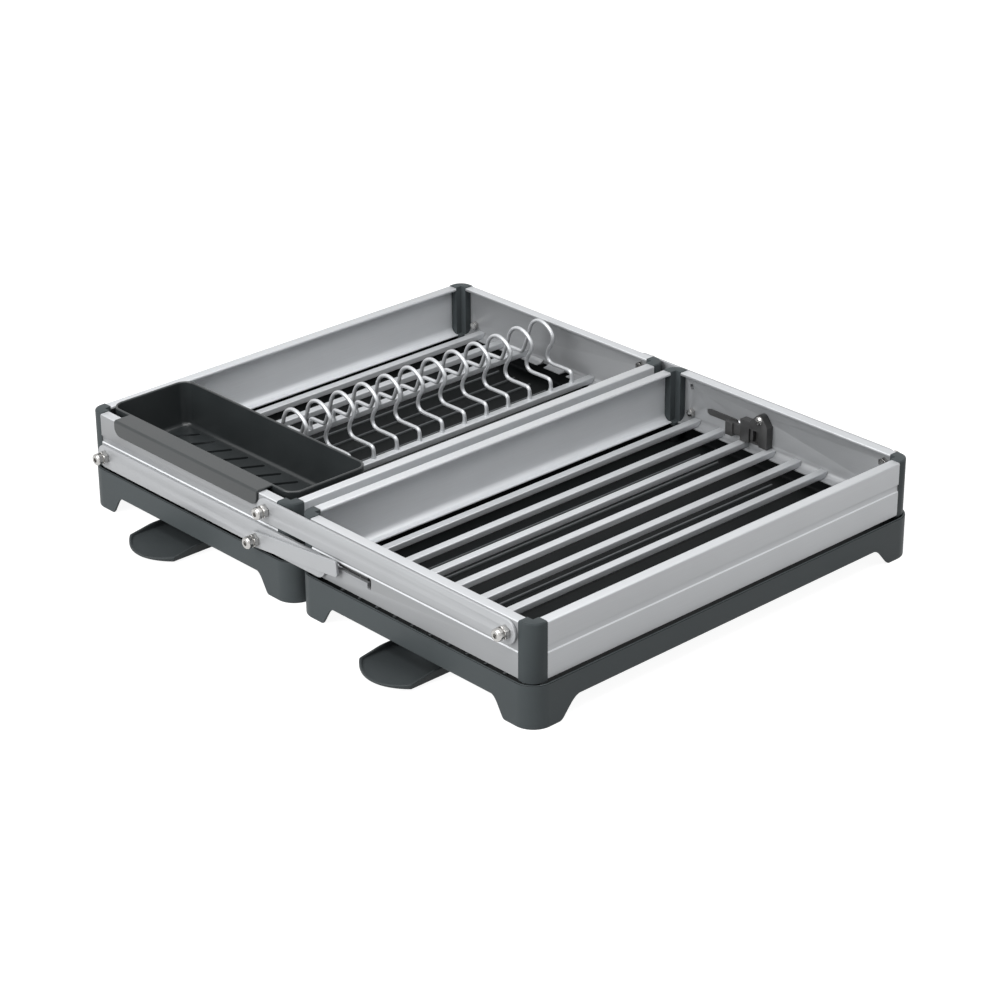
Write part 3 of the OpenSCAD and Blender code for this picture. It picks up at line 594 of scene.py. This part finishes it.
def foot_edge(distance, base, slant):
    """Height of the skirt's lower edge at a distance from the tray's end.

    The foot stands on the counter as far as base. Then its edge climbs straight to the skirt's
    height, and both corners of that slant are eased.
    """
    height = SKIRT_Z * (distance - base) / slant
    return eased(SKIRT_Z - eased(SKIRT_Z - height, SKIRT_EASE), SOLE_EASE)


def side_stops(length, base, slant):
    """Shares of a side, close together where the skirt climbs from a foot."""
    run = length - 2 * TRAY_RADIUS
    near = np.concatenate([[0], base - TRAY_RADIUS + slant * np.linspace(-0.12, 1.3, 25)])
    return np.concatenate([near, run - near[::-1]]) / run


def sole(corner_x, corner_y, sign_x, sign_y):
    """Flat bottom of a foot: the tray's round corner, cut off aslant behind."""
    radius = TRAY_RADIUS - TRAY_WALL / 2
    a = np.radians(np.linspace(0, 90, 13))
    long_side, short_side = FOOT_LONG - TRAY_WALL - SOLE_EASE, FOOT_SHORT - TRAY_WALL - SOLE_EASE
    outline = np.vstack([
        [[0, -short_side]],
        np.column_stack([radius * (np.cos(a) - 1), radius * (np.sin(a) - 1)]),
        [[-long_side, 0]],
    ])
    outline = outline * [sign_x, sign_y] + [corner_x, corner_y]
    return prism(outline if sign_x == sign_y else outline[::-1], 0, SOLE_THICK)


def make_drip_tray(node, spout_node):
    """A tray whose wall runs on below its floor as a skirt, which flares down into four feet."""
    low, high = box(node)
    size, middle = (high - low)[:2], ((high + low) / 2)[:2]
    stops = [
        side_stops(size[1], FOOT_SHORT, SLANT_SHORT), side_stops(size[0], FOOT_LONG, SLANT_LONG),
    ]
    points, normals = rounded_rectangle(*size, TRAY_RADIUS, stops=stops)
    from_end = size / 2 - np.abs(points)
    edge_z = np.maximum(
        foot_edge(from_end[:, 0], FOOT_LONG, SLANT_LONG),
        foot_edge(from_end[:, 1], FOOT_SHORT, SLANT_SHORT),
    )
    half_wall = TRAY_WALL / 2
    rows = (
        [(TRAY_WALL + FLOOR_ROUND, FLOOR_UNDER_Z), (TRAY_WALL, FLOOR_UNDER_Z)]
        + arc_rows(TRAY_WALL - LIP_ROUND, edge_z + LIP_ROUND, LIP_ROUND, 0, -90, 3)
        + arc_rows(LIP_ROUND, edge_z + LIP_ROUND, LIP_ROUND, -90, -180, 3)
        + arc_rows(half_wall, TRAY_RIM_Z - half_wall, half_wall, 180, 0, 8)
        + arc_rows(TRAY_WALL + FLOOR_ROUND, FLOOR_Z + FLOOR_ROUND, FLOOR_ROUND, 180, 270, 5)
    )
    shell = carried_round((points + middle, normals), rows)
    pivot = pivot_of(spout_node)
    drain = np.array([[-1, -1], [0, -1], [0, 1], [-1, 1]]) * [DRAIN_WIDTH, DRAIN_LENGTH / 2]
    drain = drain + pivot - [DRAIN_FROM_PIVOT, 0]
    extras = []
    for sign_x in (-1, 1):
        for sign_y in (-1, 1):
            corner = middle + (size / 2 - half_wall) * [sign_x, sign_y]
            extras.append(sole(*corner, sign_x, sign_y))
            pad = [MIDDLE_X + sign_x * (FRAME_HALF_LENGTH - PAD_IN),
                   middle[1] + sign_y * (FRAME_HALF_WIDTH - PAD_IN)]
            extras.append(turned(np.array([
                [PAD_RADIUS, FLOOR_Z - SUNK],
                [PAD_RADIUS, high[2] - PAD_ROUND],
                [PAD_RADIUS - PAD_ROUND, high[2]],
            ]), pad))
    ribs = middle[1] + RIB_PITCH * (np.arange(RIB_COUNT) - RIB_COUNT // 2)
    half_rib = FRAME_HALF_LENGTH - TRAY_RADIUS
    for rib_y in ribs:
        section = rounded_bar(RIB_SIZE, RIB_SIZE + SUNK, RIB_EDGE) + [rib_y, FLOOR_Z - SUNK]
        extras.append(prism(section, MIDDLE_X - half_rib, MIDDLE_X + half_rib, axis=0))
    extras.append(turned(np.array([
        [PIVOT_BOSS_RADIUS - LIP_ROUND, PIVOT_BOSS_LOW_Z],
        [PIVOT_BOSS_RADIUS, PIVOT_BOSS_LOW_Z + LIP_ROUND],
        [PIVOT_BOSS_RADIUS, FLOOR_UNDER_Z + SUNK],
    ]), pivot))
    drains = [prism(drain, FLOOR_UNDER_Z - MM, FLOOR_Z + MM)]
    obj = new_piece(node + "_shell", [shell], node, holes=drains, extras=extras)
    paint_inside_shade(obj, middle, half_rib)


def paint_inside_shade(obj, middle, half_rib):
    """Paints shade on the tray's inside, below the rim, as a darker finish, and a highlight on its
    ribs as a lighter one.
    """
    centres, normals = faces_of(obj)
    height = centres[:, 2]
    inward = np.sum(normals[:, :2] * (middle - centres[:, :2]), axis=1) > 0
    within = (height > FLOOR_Z - SUNK / 2) & (height < TRAY_RIM_Z - RIM_LIGHT)
    rib = (np.abs(centres[:, 0] - middle[0]) < half_rib + SUNK) & (height > FLOOR_Z + SUNK / 2)
    rib &= np.abs(centres[:, 1] - middle[1]) < RIB_PITCH * (RIB_COUNT // 2) + 2 * RIB_SIZE
    sides_and_floor = inward | (normals[:, 2] > SLOPES_UP)
    refinish(obj, within & ~rib & sides_and_floor, FINISH["tray_painted_shade"])
    refinish(obj, within & rib, FINISH["tray_rib_highlight"])


# Spouts
SPOUT_TIP = 69.8 * MM
SPOUT_BULGE = 12.5 * MM
SPOUT_CORNER = 2 * MM
SPOUT_NEAR = 33.5 * MM
SPOUT_WALL = 2 * MM
SPOUT_ROUND = 0.8 * MM
SPOUT_COVE = 1.2 * MM
# Keeps the cove's first row off the wall's last one
ROW_APART = 0.02 * MM


def pivot_of(spout_node):
    """Where a spout turns: a fixed distance from its tip, on its middle line."""
    low, high = box(spout_node)
    return np.array([low[0] + SPOUT_TIP, (low[1] + high[1]) / 2])


def spout_loop(half, tip):
    """Outline of a spout about its pivot, counter-clockwise, with its tip towards -X.

    The tip is x = -tip + bulge sin^2 a + corner (1 - cos a), y = half sin a, for a from 90 to
    -90 degrees. The sides run straight to the pivot, and the back is a half circle.
    """
    a = np.radians(np.linspace(90, -90, 37))
    front = np.column_stack([
        -tip + SPOUT_BULGE * np.sin(a) ** 2 + SPOUT_CORNER * (1 - np.cos(a)), half * np.sin(a),
    ])
    run = front[-1, 0] * np.linspace(1, 0, 12)[1:]
    b = np.radians(np.linspace(-90, 90, 25))[1:-1]
    return np.vstack([
        front,
        np.column_stack([run, np.full(len(run), -half)]),
        half * np.column_stack([np.cos(b), np.sin(b)]),
        np.column_stack([run[::-1], np.full(len(run), half)]),
    ])


def make_spout(node):
    """A shallow channel: its side walls fall away towards the tip, where only its floor is left."""
    low, high = box(node)
    half = (high[1] - low[1]) / 2
    bottom, top = low[2], high[2]
    floor = bottom + SPOUT_WALL
    outer = spout_loop(half, SPOUT_TIP)
    wall_z = np.interp(outer[:, 0], [-SPOUT_TIP, -SPOUT_NEAR], [floor, top])
    height = wall_z - floor
    half_wall = SPOUT_WALL / 2
    drop_out = np.minimum(half_wall, height + SPOUT_ROUND)
    drop_in = np.minimum(half_wall, height)
    cove = np.minimum(SPOUT_COVE, height - drop_in)
    rows = arc_rows(SPOUT_ROUND, bottom + SPOUT_ROUND, SPOUT_ROUND, 270, 180, 3)
    for a in np.radians(np.linspace(180, 0, 9)):
        drop = drop_out if a > np.pi / 2 else drop_in
        rows.append((half_wall * (1 + math.cos(a)), wall_z - drop * (1 - math.sin(a))))
    for a in np.radians(np.linspace(180, 270, 5)):
        inset = SPOUT_WALL + ROW_APART + SPOUT_COVE * (1 + math.cos(a))
        rows.append((inset, floor + cove * (1 + math.sin(a))))
    rings = np.empty((len(rows), len(outer), 3))
    for ring, (inset, z) in zip(rings, rows):
        ring[:, :2] = spout_loop(half - inset, SPOUT_TIP - inset)
        ring[:, 2] = z
    pivot = pivot_of(node)
    shell = moved(closed_grid(rings), [*pivot, 0])
    boss = turned(np.array([
        [PIVOT_BOSS_RADIUS, floor - SUNK], [PIVOT_BOSS_RADIUS, top - SPOUT_ROUND],
        [PIVOT_BOSS_RADIUS - SPOUT_ROUND, top],
    ]), pivot)
    new_piece(node + "_channel", [shell], node, extras=[boss])


# Cutlery tray: its top is the height of its rim and hook over the counter
CUTLERY_TOP = 90 * MM
CUTLERY_HOOK_REACH = 16.5 * MM
CUTLERY_RADIUS = 12 * MM
CUTLERY_WALL = 2.2 * MM
CUTLERY_DRAFT = 1.3 * MM
CUTLERY_BOTTOM_ROUND = 2.5 * MM
CUTLERY_COVE = 4 * MM
HOOK_FROM_END = 24.7 * MM
HOOK_FROM_FAR_END = 28.3 * MM
HOOK_DEPTH = 14 * MM
HOOK_THICK = 2.2 * MM
HOOK_CORNER = 8 * MM
HOOK_EDGE = 0.5 * MM
SLOT_COUNT = 10
SLOT_LENGTH = 42 * MM
SLOT_WIDTH = 4 * MM
SLOT_SLANT = 30
SLOT_TIP_IN = 10 * MM
SLOT_FROM_END = 25.2 * MM
SLOT_PITCH = 22.3 * MM


def stadium(length, width, slant, centre):
    """A long hole: two half circles joined by straight sides, turned by a slant."""
    a = np.radians(np.concatenate([np.linspace(-90, 90, 9), np.linspace(90, 270, 9)]))
    shift = np.repeat([1, -1], 9) * (length - width) / 2
    flat = np.column_stack([width / 2 * np.cos(a) + shift, width / 2 * np.sin(a)])
    turn = math.radians(slant)
    rotation = np.array([[math.cos(turn), math.sin(turn)], [-math.sin(turn), math.cos(turn)]])
    return flat @ rotation + centre


def hook_rings(left, right, top, start, end):
    """The tray's hook: a bent strip's section carried along Y, its lower corners round.

    The skirt's lower edge stands at depth, and within a corner's radius r of an end it rises
    by r - sqrt(r^2 - (r - d)^2), where d is the distance from that end.
    """
    near = np.concatenate([[0, HOOK_EDGE], HOOK_EDGE + (HOOK_CORNER - HOOK_EDGE)
                           * (1 - np.cos(np.radians(np.linspace(6, 90, 14))))])
    places = np.concatenate([start + near, end - near[::-1]])
    d = np.minimum(places - start, end - places)
    near_corner = np.clip(HOOK_CORNER - d, 0, HOOK_CORNER)
    edge_z = top - HOOK_DEPTH + HOOK_CORNER - np.sqrt(HOOK_CORNER**2 - near_corner**2)
    drawn_in = np.where(d < HOOK_EDGE / 2, HOOK_EDGE, 0)
    under = top - HOOK_THICK
    bend = np.radians(np.linspace(180, 90, 6))
    rings = []
    for y, low_z, inset in zip(places, edge_z, drawn_in):
        outer_radius = HOOK_THICK - inset
        low_z = min(low_z + inset, under - HOOK_EDGE)
        outer = np.column_stack([
            left + HOOK_THICK + outer_radius * np.cos(bend), under + outer_radius * np.sin(bend),
        ])
        section = np.vstack([
            [[right, under + inset], [right, top - inset]],
            outer[::-1],
            [[left + inset, low_z + HOOK_EDGE], [left + HOOK_EDGE + inset, low_z]],
            [[left + HOOK_THICK - HOOK_EDGE - inset, low_z]],
            [[left + HOOK_THICK - inset, low_z + HOOK_EDGE]],
            [[left + HOOK_THICK - inset, under + inset]],
        ])
        rings.append(np.column_stack([section[:, 0], np.full(len(section), y), section[:, 1]]))
    return np.array(rings)[::-1]


def make_cutlery_tray():
    """A tapered tray with a rolled rim, slanted drain slots and a hook over the left wall."""
    low, high = box("cutlery_tray")
    bottom, top = low[2], CUTLERY_TOP
    width, length = high[0] - low[0] - CUTLERY_HOOK_REACH, high[1] - low[1]
    middle = np.array([high[0] - width / 2, (low[1] + high[1]) / 2])
    points, normals = rounded_rectangle(width, length, CUTLERY_RADIUS)
    half_wall = CUTLERY_WALL / 2
    outside = CUTLERY_DRAFT + CUTLERY_BOTTOM_ROUND
    inside = CUTLERY_DRAFT + CUTLERY_WALL + CUTLERY_COVE
    floor = bottom + CUTLERY_WALL
    rows = (
        arc_rows(outside, bottom + CUTLERY_BOTTOM_ROUND, CUTLERY_BOTTOM_ROUND, 270, 180, 5)
        + arc_rows(half_wall, top - half_wall, half_wall, 180, 0, 8)
        + arc_rows(inside, floor + CUTLERY_COVE, CUTLERY_COVE, 180, 270, 7)
    )
    shell = carried_round((points + middle, normals), rows)
    tip_x = high[0] - SLOT_TIP_IN
    slots = [
        prism(stadium(SLOT_LENGTH, SLOT_WIDTH, -SLOT_SLANT, [
            tip_x - SLOT_LENGTH / 2 * math.cos(math.radians(SLOT_SLANT)),
            low[1] + SLOT_FROM_END + i * SLOT_PITCH,
        ]), bottom - MM, floor + MM)
        for i in range(SLOT_COUNT)
    ]
    hook = closed_grid(hook_rings(
        low[0], high[0] - width + half_wall, top,
        low[1] + HOOK_FROM_END, high[1] - HOOK_FROM_FAR_END,
    ))
    new_piece("cutlery_tray_shell", [shell], "cutlery_tray", holes=slots, extras=[hook])


# Plate hoops
HOOP_COUNT = 12
# Course of a hoop: a share of the distance between its feet, and of its height
HOOP_SHARES = np.array([
    [0, 0], [0, 0.125], [0.014, 0.196], [0.051, 0.221], [0.171, 0.221],
    [0.288, 0.221], [0.349, 0.263], [0.374, 0.365], [0.351, 0.51],
    [0.304, 0.646], [0.295, 0.781], [0.342, 0.904], [0.424, 0.985],
    [0.509, 1], [0.589, 0.933], [0.638, 0.813], [0.662, 0.677],
    [0.708, 0.458], [0.751, 0.277], [0.778, 0.231], [0.824, 0.225],
    [0.947, 0.221], [0.986, 0.196], [1, 0.125], [1, 0],
])
WIRE_RADIUS = 1.75 * MM
WIRE_SIDES = 14
WIRE_STEPS = 6
WELD_SWELL = 0.45
WELD_LENGTH = 1.8 * MM


def catmull(points, steps):
    """A smooth curve through points: each stretch is a cubic of its four neighbours."""
    p = np.vstack([points[:1], points, points[-1:]])
    a, b, c, d = p[:-3, None], p[1:-2, None], p[2:-1, None], p[3:, None]
    t = (np.arange(steps) / steps)[None, :, None]
    curve = 0.5 * (
        2 * b + (c - a) * t + (2 * a - 5 * b + 4 * c - d) * t**2
        + (3 * b - a - 3 * c + d) * t**3
    )
    return np.vstack([curve.reshape(-1, points.shape[1]), points[-1:]])


def make_hoops():
    """Round wires along the hoops' course, a little thicker where they are welded to the rails."""
    low, high = box("plate_hoops")
    foot_low, foot_high = low[1] + WIRE_RADIUS, high[1] - WIRE_RADIUS
    rise = high[2] - WIRE_RADIUS - low[2]
    course = np.column_stack([
        foot_low + HOOP_SHARES[:, 0] * (foot_high - foot_low),
        low[2] + HOOP_SHARES[:, 1] * rise,
    ])
    line = catmull(course, WIRE_STEPS)
    line[:, 1] = low[2] + (line[:, 1] - low[2]) * rise / (line[:, 1].max() - low[2])
    along = np.gradient(line, axis=0)
    along[0], along[-1] = (0, 1), (0, -1)
    along /= np.linalg.norm(along, axis=1)[:, None]
    lengths = np.concatenate([[0], np.cumsum(np.linalg.norm(np.diff(line, axis=0), axis=1))])
    from_foot = np.minimum(lengths, lengths[-1] - lengths)
    radius = WIRE_RADIUS * (1 + WELD_SWELL * np.exp(-(from_foot / WELD_LENGTH) ** 2))
    angle = np.arange(WIRE_SIDES) * 2 * np.pi / WIRE_SIDES
    across = radius[:, None] * np.cos(angle)
    ring = np.empty((len(line), len(angle), 3))
    ring[..., 0] = radius[:, None] * np.sin(angle)
    ring[..., 1] = line[:, :1] - along[:, 1:] * across
    ring[..., 2] = line[:, 1:] + along[:, :1] * across
    wire = closed_grid(ring)
    places = np.linspace(low[0] + WIRE_RADIUS, high[0] - WIRE_RADIUS, HOOP_COUNT)
    new_piece("plate_hoop_wires", [moved(wire, [x, 0, 0]) for x in places], "plate_hoops")


# Cap bolts
COLLAR_ACROSS = 10.4 * MM
COLLAR_LONG = 4.4 * MM
COLLAR_EDGE = 0.45 * MM
NECK_RADIUS = 4.2 * MM
NECK_LONG = 1.1 * MM
CAP_RADIUS = 5.2 * MM
CAP_LONG = 4.8 * MM
CAP_DOME_SHARE = 0.45
CAP_FLAT_RADIUS = 3.5 * MM
CAP_EDGE = 0.3 * MM
SOCKET_ACROSS = 4 * MM
SOCKET_DEEP = 2.6 * MM
BOLT_RADIUS = 3 * MM
BOLT_SIDES = 36


def make_bolts(node, shank):
    """Bolts at both ends: a hexagon collar, a neck and a domed cap with a hexagon socket.

    A row's radius is the least of a circle and of a hexagon, across / (2 cos b), where b is the
    angle from the middle of the nearest flat.
    """
    low, high = box(node)
    middle = (low + high) / 2
    angle = np.arange(BOLT_SIDES) * 2 * np.pi / BOLT_SIDES
    from_flat = (angle + np.pi / 6) % (np.pi / 3) - np.pi / 6
    hexagon = 1 / (2 * np.cos(from_flat))
    corner = COLLAR_ACROSS / math.sqrt(3)
    cap_start = COLLAR_LONG + NECK_LONG
    dome = CAP_LONG * CAP_DOME_SHARE
    a = np.radians(np.linspace(0, 90, 7))
    dome_rows = np.column_stack([
        cap_start + CAP_LONG - dome * (1 - np.sin(a)),
        CAP_FLAT_RADIUS + (CAP_RADIUS - CAP_FLAT_RADIUS) * np.cos(a),
    ])
    plain = np.inf
    rows = [
        (-shank, BOLT_RADIUS, plain), (0, BOLT_RADIUS, plain),
        (0, COLLAR_ACROSS / 2, COLLAR_ACROSS), (COLLAR_EDGE, corner, COLLAR_ACROSS),
        (COLLAR_LONG - COLLAR_EDGE, corner, COLLAR_ACROSS),
        (COLLAR_LONG, COLLAR_ACROSS / 2, COLLAR_ACROSS),
        (COLLAR_LONG, NECK_RADIUS, plain), (cap_start, NECK_RADIUS, plain),
        (cap_start, CAP_RADIUS - CAP_EDGE, plain), (cap_start + CAP_EDGE, CAP_RADIUS, plain),
        *[(u, radius, plain) for u, radius in dome_rows],
        (cap_start + CAP_LONG, CAP_RADIUS, SOCKET_ACROSS),
        (cap_start + CAP_LONG - SOCKET_DEEP, CAP_RADIUS, SOCKET_ACROSS),
    ]
    head_start = high[0] - (cap_start + CAP_LONG)
    rings = np.empty((len(rows), BOLT_SIDES, 3))
    for ring, (u, circle, across) in zip(rings, rows):
        radius = np.minimum(circle, across * hexagon)
        ring[:, 0] = head_start + u
        ring[:, 1] = middle[1] + radius * np.cos(angle)
        ring[:, 2] = middle[2] + radius * np.sin(angle)
    bolt = closed_grid(rings)
    new_piece(node + "_turned", [bolt, mirrored_x(bolt, middle[0])], node)


# Distance from a bolt's collar back to the end of its shank
BOLT_SHANKS = {
    "front_outer_bolts": 10.4 * MM,
    "rear_inner_bolts": 10.4 * MM,
    "rear_outer_bolts": 10.4 * MM,
    "brace_bolts": 5.4 * MM,
}

# Braces: flat bars, round at the pivot and with round corners at the pin's end
BRACE_WIDTH = 14 * MM
BRACE_CORNER = 3.2 * MM
BRACE_EDGE = 0.45 * MM
BRACE_EDGE_ANGLE = 50
BRACE_HOLE_CLEAR = 0.05 * MM
BRACE_OVER_PIN = 0.1 * MM


def make_brace(node):
    """A bar's outline in Y and Z, carried through its thickness, with the pivot's hole."""
    low, high = box(node)
    half = BRACE_WIDTH / 2
    pivot = np.array([high[1] - half, low[2] + half])
    pin = np.array([low[1] + half, high[2] - half])
    along = (pin - pivot) / np.linalg.norm(pin - pivot)
    across = np.array([-along[1], along[0]])
    length = np.linalg.norm(pin - pivot) + half
    inner = half - BRACE_CORNER
    a = np.radians(np.linspace(0, 90, 7))
    b = np.radians(np.linspace(90, 270, 21))
    corner = np.column_stack([
        length - BRACE_CORNER * (1 - np.cos(a)), inner + BRACE_CORNER * np.sin(a),
    ])
    flat = np.vstack([
        corner, half * np.column_stack([np.cos(b), np.sin(b)]), corner[::-1] * [1, -1],
    ])
    outline = pivot + flat[:, :1] * along + flat[:, 1:] * across
    c = np.arange(32) * 2 * np.pi / 32
    hole = pivot + (BOLT_RADIUS + BRACE_HOLE_CLEAR) * np.column_stack([np.cos(c), np.sin(c)])
    bar = prism(outline, low[0] - BRACE_OVER_PIN, high[0] + BRACE_OVER_PIN, axis=0)
    bore = prism(hole, low[0] - MM, high[0] + MM, axis=0)
    obj = new_piece(node + "_bar", [bar], node, holes=[bore])
    round_edges(obj, BRACE_EDGE, 3, BRACE_EDGE_ANGLE)


# Latch stems: flat strips that run from the sliders along the inside of the braces' slots
STEM_LENGTH = 35.2 * MM
STEM_HIGH = 5.4 * MM
STEM_THICK = 1.5 * MM
STEM_Z = 58.7 * MM
STEM_IN_SLIDER = 9.2 * MM
STEM_OUT = 0.1 * MM


def make_latch_stem(side):
    """A strip with round ends, its outline in Y and Z, carried through its thickness."""
    slider, housing = box("right_latch_slider")[1], box("right_latch_housing")[1]
    centre = [slider[1] - STEM_IN_SLIDER + STEM_LENGTH / 2, STEM_Z]
    face = housing[0] + STEM_OUT
    strip = prism(stadium(STEM_LENGTH, STEM_HIGH, 0, centre), face - STEM_THICK, face, axis=0)
    if side == "left":
        strip = mirrored_x(strip, MIDDLE_X)
    name = side + "_latch_stem"
    obj = add_object(name, mesh_of(name, [strip]))
    obj.data.set_sharp_from_angle(angle=SHARP_ANGLE)
    obj.data.materials.append(FINISH["latch"])
    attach(obj, side + "_latch")


# Nodes with a surface of their own
SHAPED = {
    "plate_hoops", "cutlery_tray", "front_drip_tray", "rear_drip_tray", "front_spout", "rear_spout",
    "left_brace", "right_brace", *BOLT_SHANKS,
}
# Width of the round edges of the other nodes, in millimetres
EDGE = {"rod": 0.3, "arm": 0.45, "latch": 0.5, "steel": 0.2, "post": 0.9, "wall": 0.25}


def make_softened():
    """Softened copies of every node that has no surface of its own."""
    for node, slot in NODE_SLOT.items():
        if node not in SHAPED:
            kind = SLOT_FINISH.get(slot, "wall")
            soften(node, EDGE[kind] * MM, 3 if kind == "post" else 2)


# Floor and light
FLOOR_SIZE = 12
FLOOR_TONE = 0.30
FLOOR_ROUGHNESS = 0.9
FLOOR_SHINE = 0.1
FLOOR_GLOW_NEAR = 0.93
FLOOR_GLOW_FAR = 1.0
GLOW_NEAR_RADIUS = 0.5
GLOW_FAR_RADIUS = 1.6
WORLD_LIGHT = 0.18
# Softboxes: azimuth, elevation, distance and side in metres, and power
LAMPS = {
    "overhead": (-20, 80, 2.6, 2.2, 44),
    "front_top": (15, 55, 2.8, 1.6, 8),
    "left_side": (-95, 28, 2.6, 1.8, 50),
}


def seen_or_mirrored(tree):
    """One where a ray comes from the camera, a mirror or a clear piece, and nought elsewhere."""
    path = add_node(tree, "ShaderNodeLightPath")
    total = path.outputs["Is Camera Ray"]
    for name in ("Is Glossy Ray", "Is Transmission Ray"):
        either = add_node(tree, "ShaderNodeMath", operation="MAXIMUM")
        tree.links.new(total, either.inputs[0])
        tree.links.new(path.outputs[name], either.inputs[1])
        total = either.outputs[0]
    return total


def make_stage():
    """A pale floor that keeps the rack's shadow, and that glows up to white away from it."""
    bpy.ops.mesh.primitive_plane_add(size=FLOOR_SIZE, location=(0, 0, 0))
    floor = bpy.context.object
    floor.name = "floor"
    material, tree, shader = new_material("pale_floor")
    shader.inputs["Base Color"].default_value = (*tone(FLOOR_TONE), 1)
    shader.inputs["Roughness"].default_value = FLOOR_ROUGHNESS
    shader.inputs["Specular IOR Level"].default_value = FLOOR_SHINE
    place = add_node(tree, "ShaderNodeTexCoord")
    length = add_node(tree, "ShaderNodeVectorMath", operation="LENGTH")
    spread = add_node(tree, "ShaderNodeMapRange")
    spread.inputs["From Min"].default_value = GLOW_NEAR_RADIUS
    spread.inputs["From Max"].default_value = GLOW_FAR_RADIUS
    spread.inputs["To Min"].default_value = FLOOR_GLOW_NEAR
    spread.inputs["To Max"].default_value = FLOOR_GLOW_FAR
    glow = add_node(tree, "ShaderNodeEmission")
    both = add_node(tree, "ShaderNodeAddShader")
    choose = add_node(tree, "ShaderNodeMixShader")
    tree.links.new(place.outputs["Object"], length.inputs[0])
    tree.links.new(length.outputs["Value"], spread.inputs["Value"])
    tree.links.new(spread.outputs["Result"], glow.inputs["Strength"])
    tree.links.new(shader.outputs[0], both.inputs[0])
    tree.links.new(glow.outputs[0], both.inputs[1])
    tree.links.new(seen_or_mirrored(tree), choose.inputs["Fac"])
    tree.links.new(shader.outputs[0], choose.inputs[1])
    tree.links.new(both.outputs[0], choose.inputs[2])
    tree.links.new(choose.outputs[0], tree.nodes["Material Output"].inputs["Surface"])
    floor.data.materials.append(material)


def make_world():
    """A dim white light on the object, before a white background."""
    world = bpy.data.worlds.new("studio")
    bpy.context.scene.world = world
    world.use_nodes = True
    tree = world.node_tree
    plain = tree.nodes["Background"]
    plain.inputs["Color"].default_value = (1, 1, 1, 1)
    plain.inputs["Strength"].default_value = WORLD_LIGHT
    white = add_node(tree, "ShaderNodeBackground")
    white.inputs["Strength"].default_value = 1.0
    white.inputs["Color"].default_value = (1, 1, 1, 1)
    choose = add_node(tree, "ShaderNodeMixShader")
    tree.links.new(seen_or_mirrored(tree), choose.inputs["Fac"])
    tree.links.new(plain.outputs[0], choose.inputs[1])
    tree.links.new(white.outputs[0], choose.inputs[2])
    tree.links.new(choose.outputs[0], tree.nodes["World Output"].inputs["Surface"])


def soft_lamp(name, azimuth, elevation, distance, size, power):
    """A square softbox that lights the rack from an azimuth and an elevation."""
    a, e = math.radians(azimuth), math.radians(elevation)
    back = Vector((math.sin(a) * math.cos(e), -math.cos(a) * math.cos(e), math.sin(e)))
    data = bpy.data.lights.new(name, "AREA")
    data.shape = "SQUARE"
    data.size = size
    data.energy = power
    lamp = add_object(name, data)
    lamp.location = back * distance
    lamp.rotation_mode = "QUATERNION"
    lamp.rotation_quaternion = (-back).to_track_quat("-Z", "Y")


make_camera()
make_world()
make_stage()
for lamp, values in LAMPS.items():
    soft_lamp(lamp, *values)
make_hoops()
make_cutlery_tray()
make_drip_tray("front_drip_tray", "front_spout")
make_drip_tray("rear_drip_tray", "rear_spout")
make_spout("front_spout")
make_spout("rear_spout")
make_brace("left_brace")
make_brace("right_brace")
make_latch_stem("left")
make_latch_stem("right")
for bolts, shank in BOLT_SHANKS.items():
    make_bolts(bolts, shank)
make_softened()

scene = bpy.context.scene
scene.view_settings.view_transform = "Standard"
bpy.context.view_layer.update()
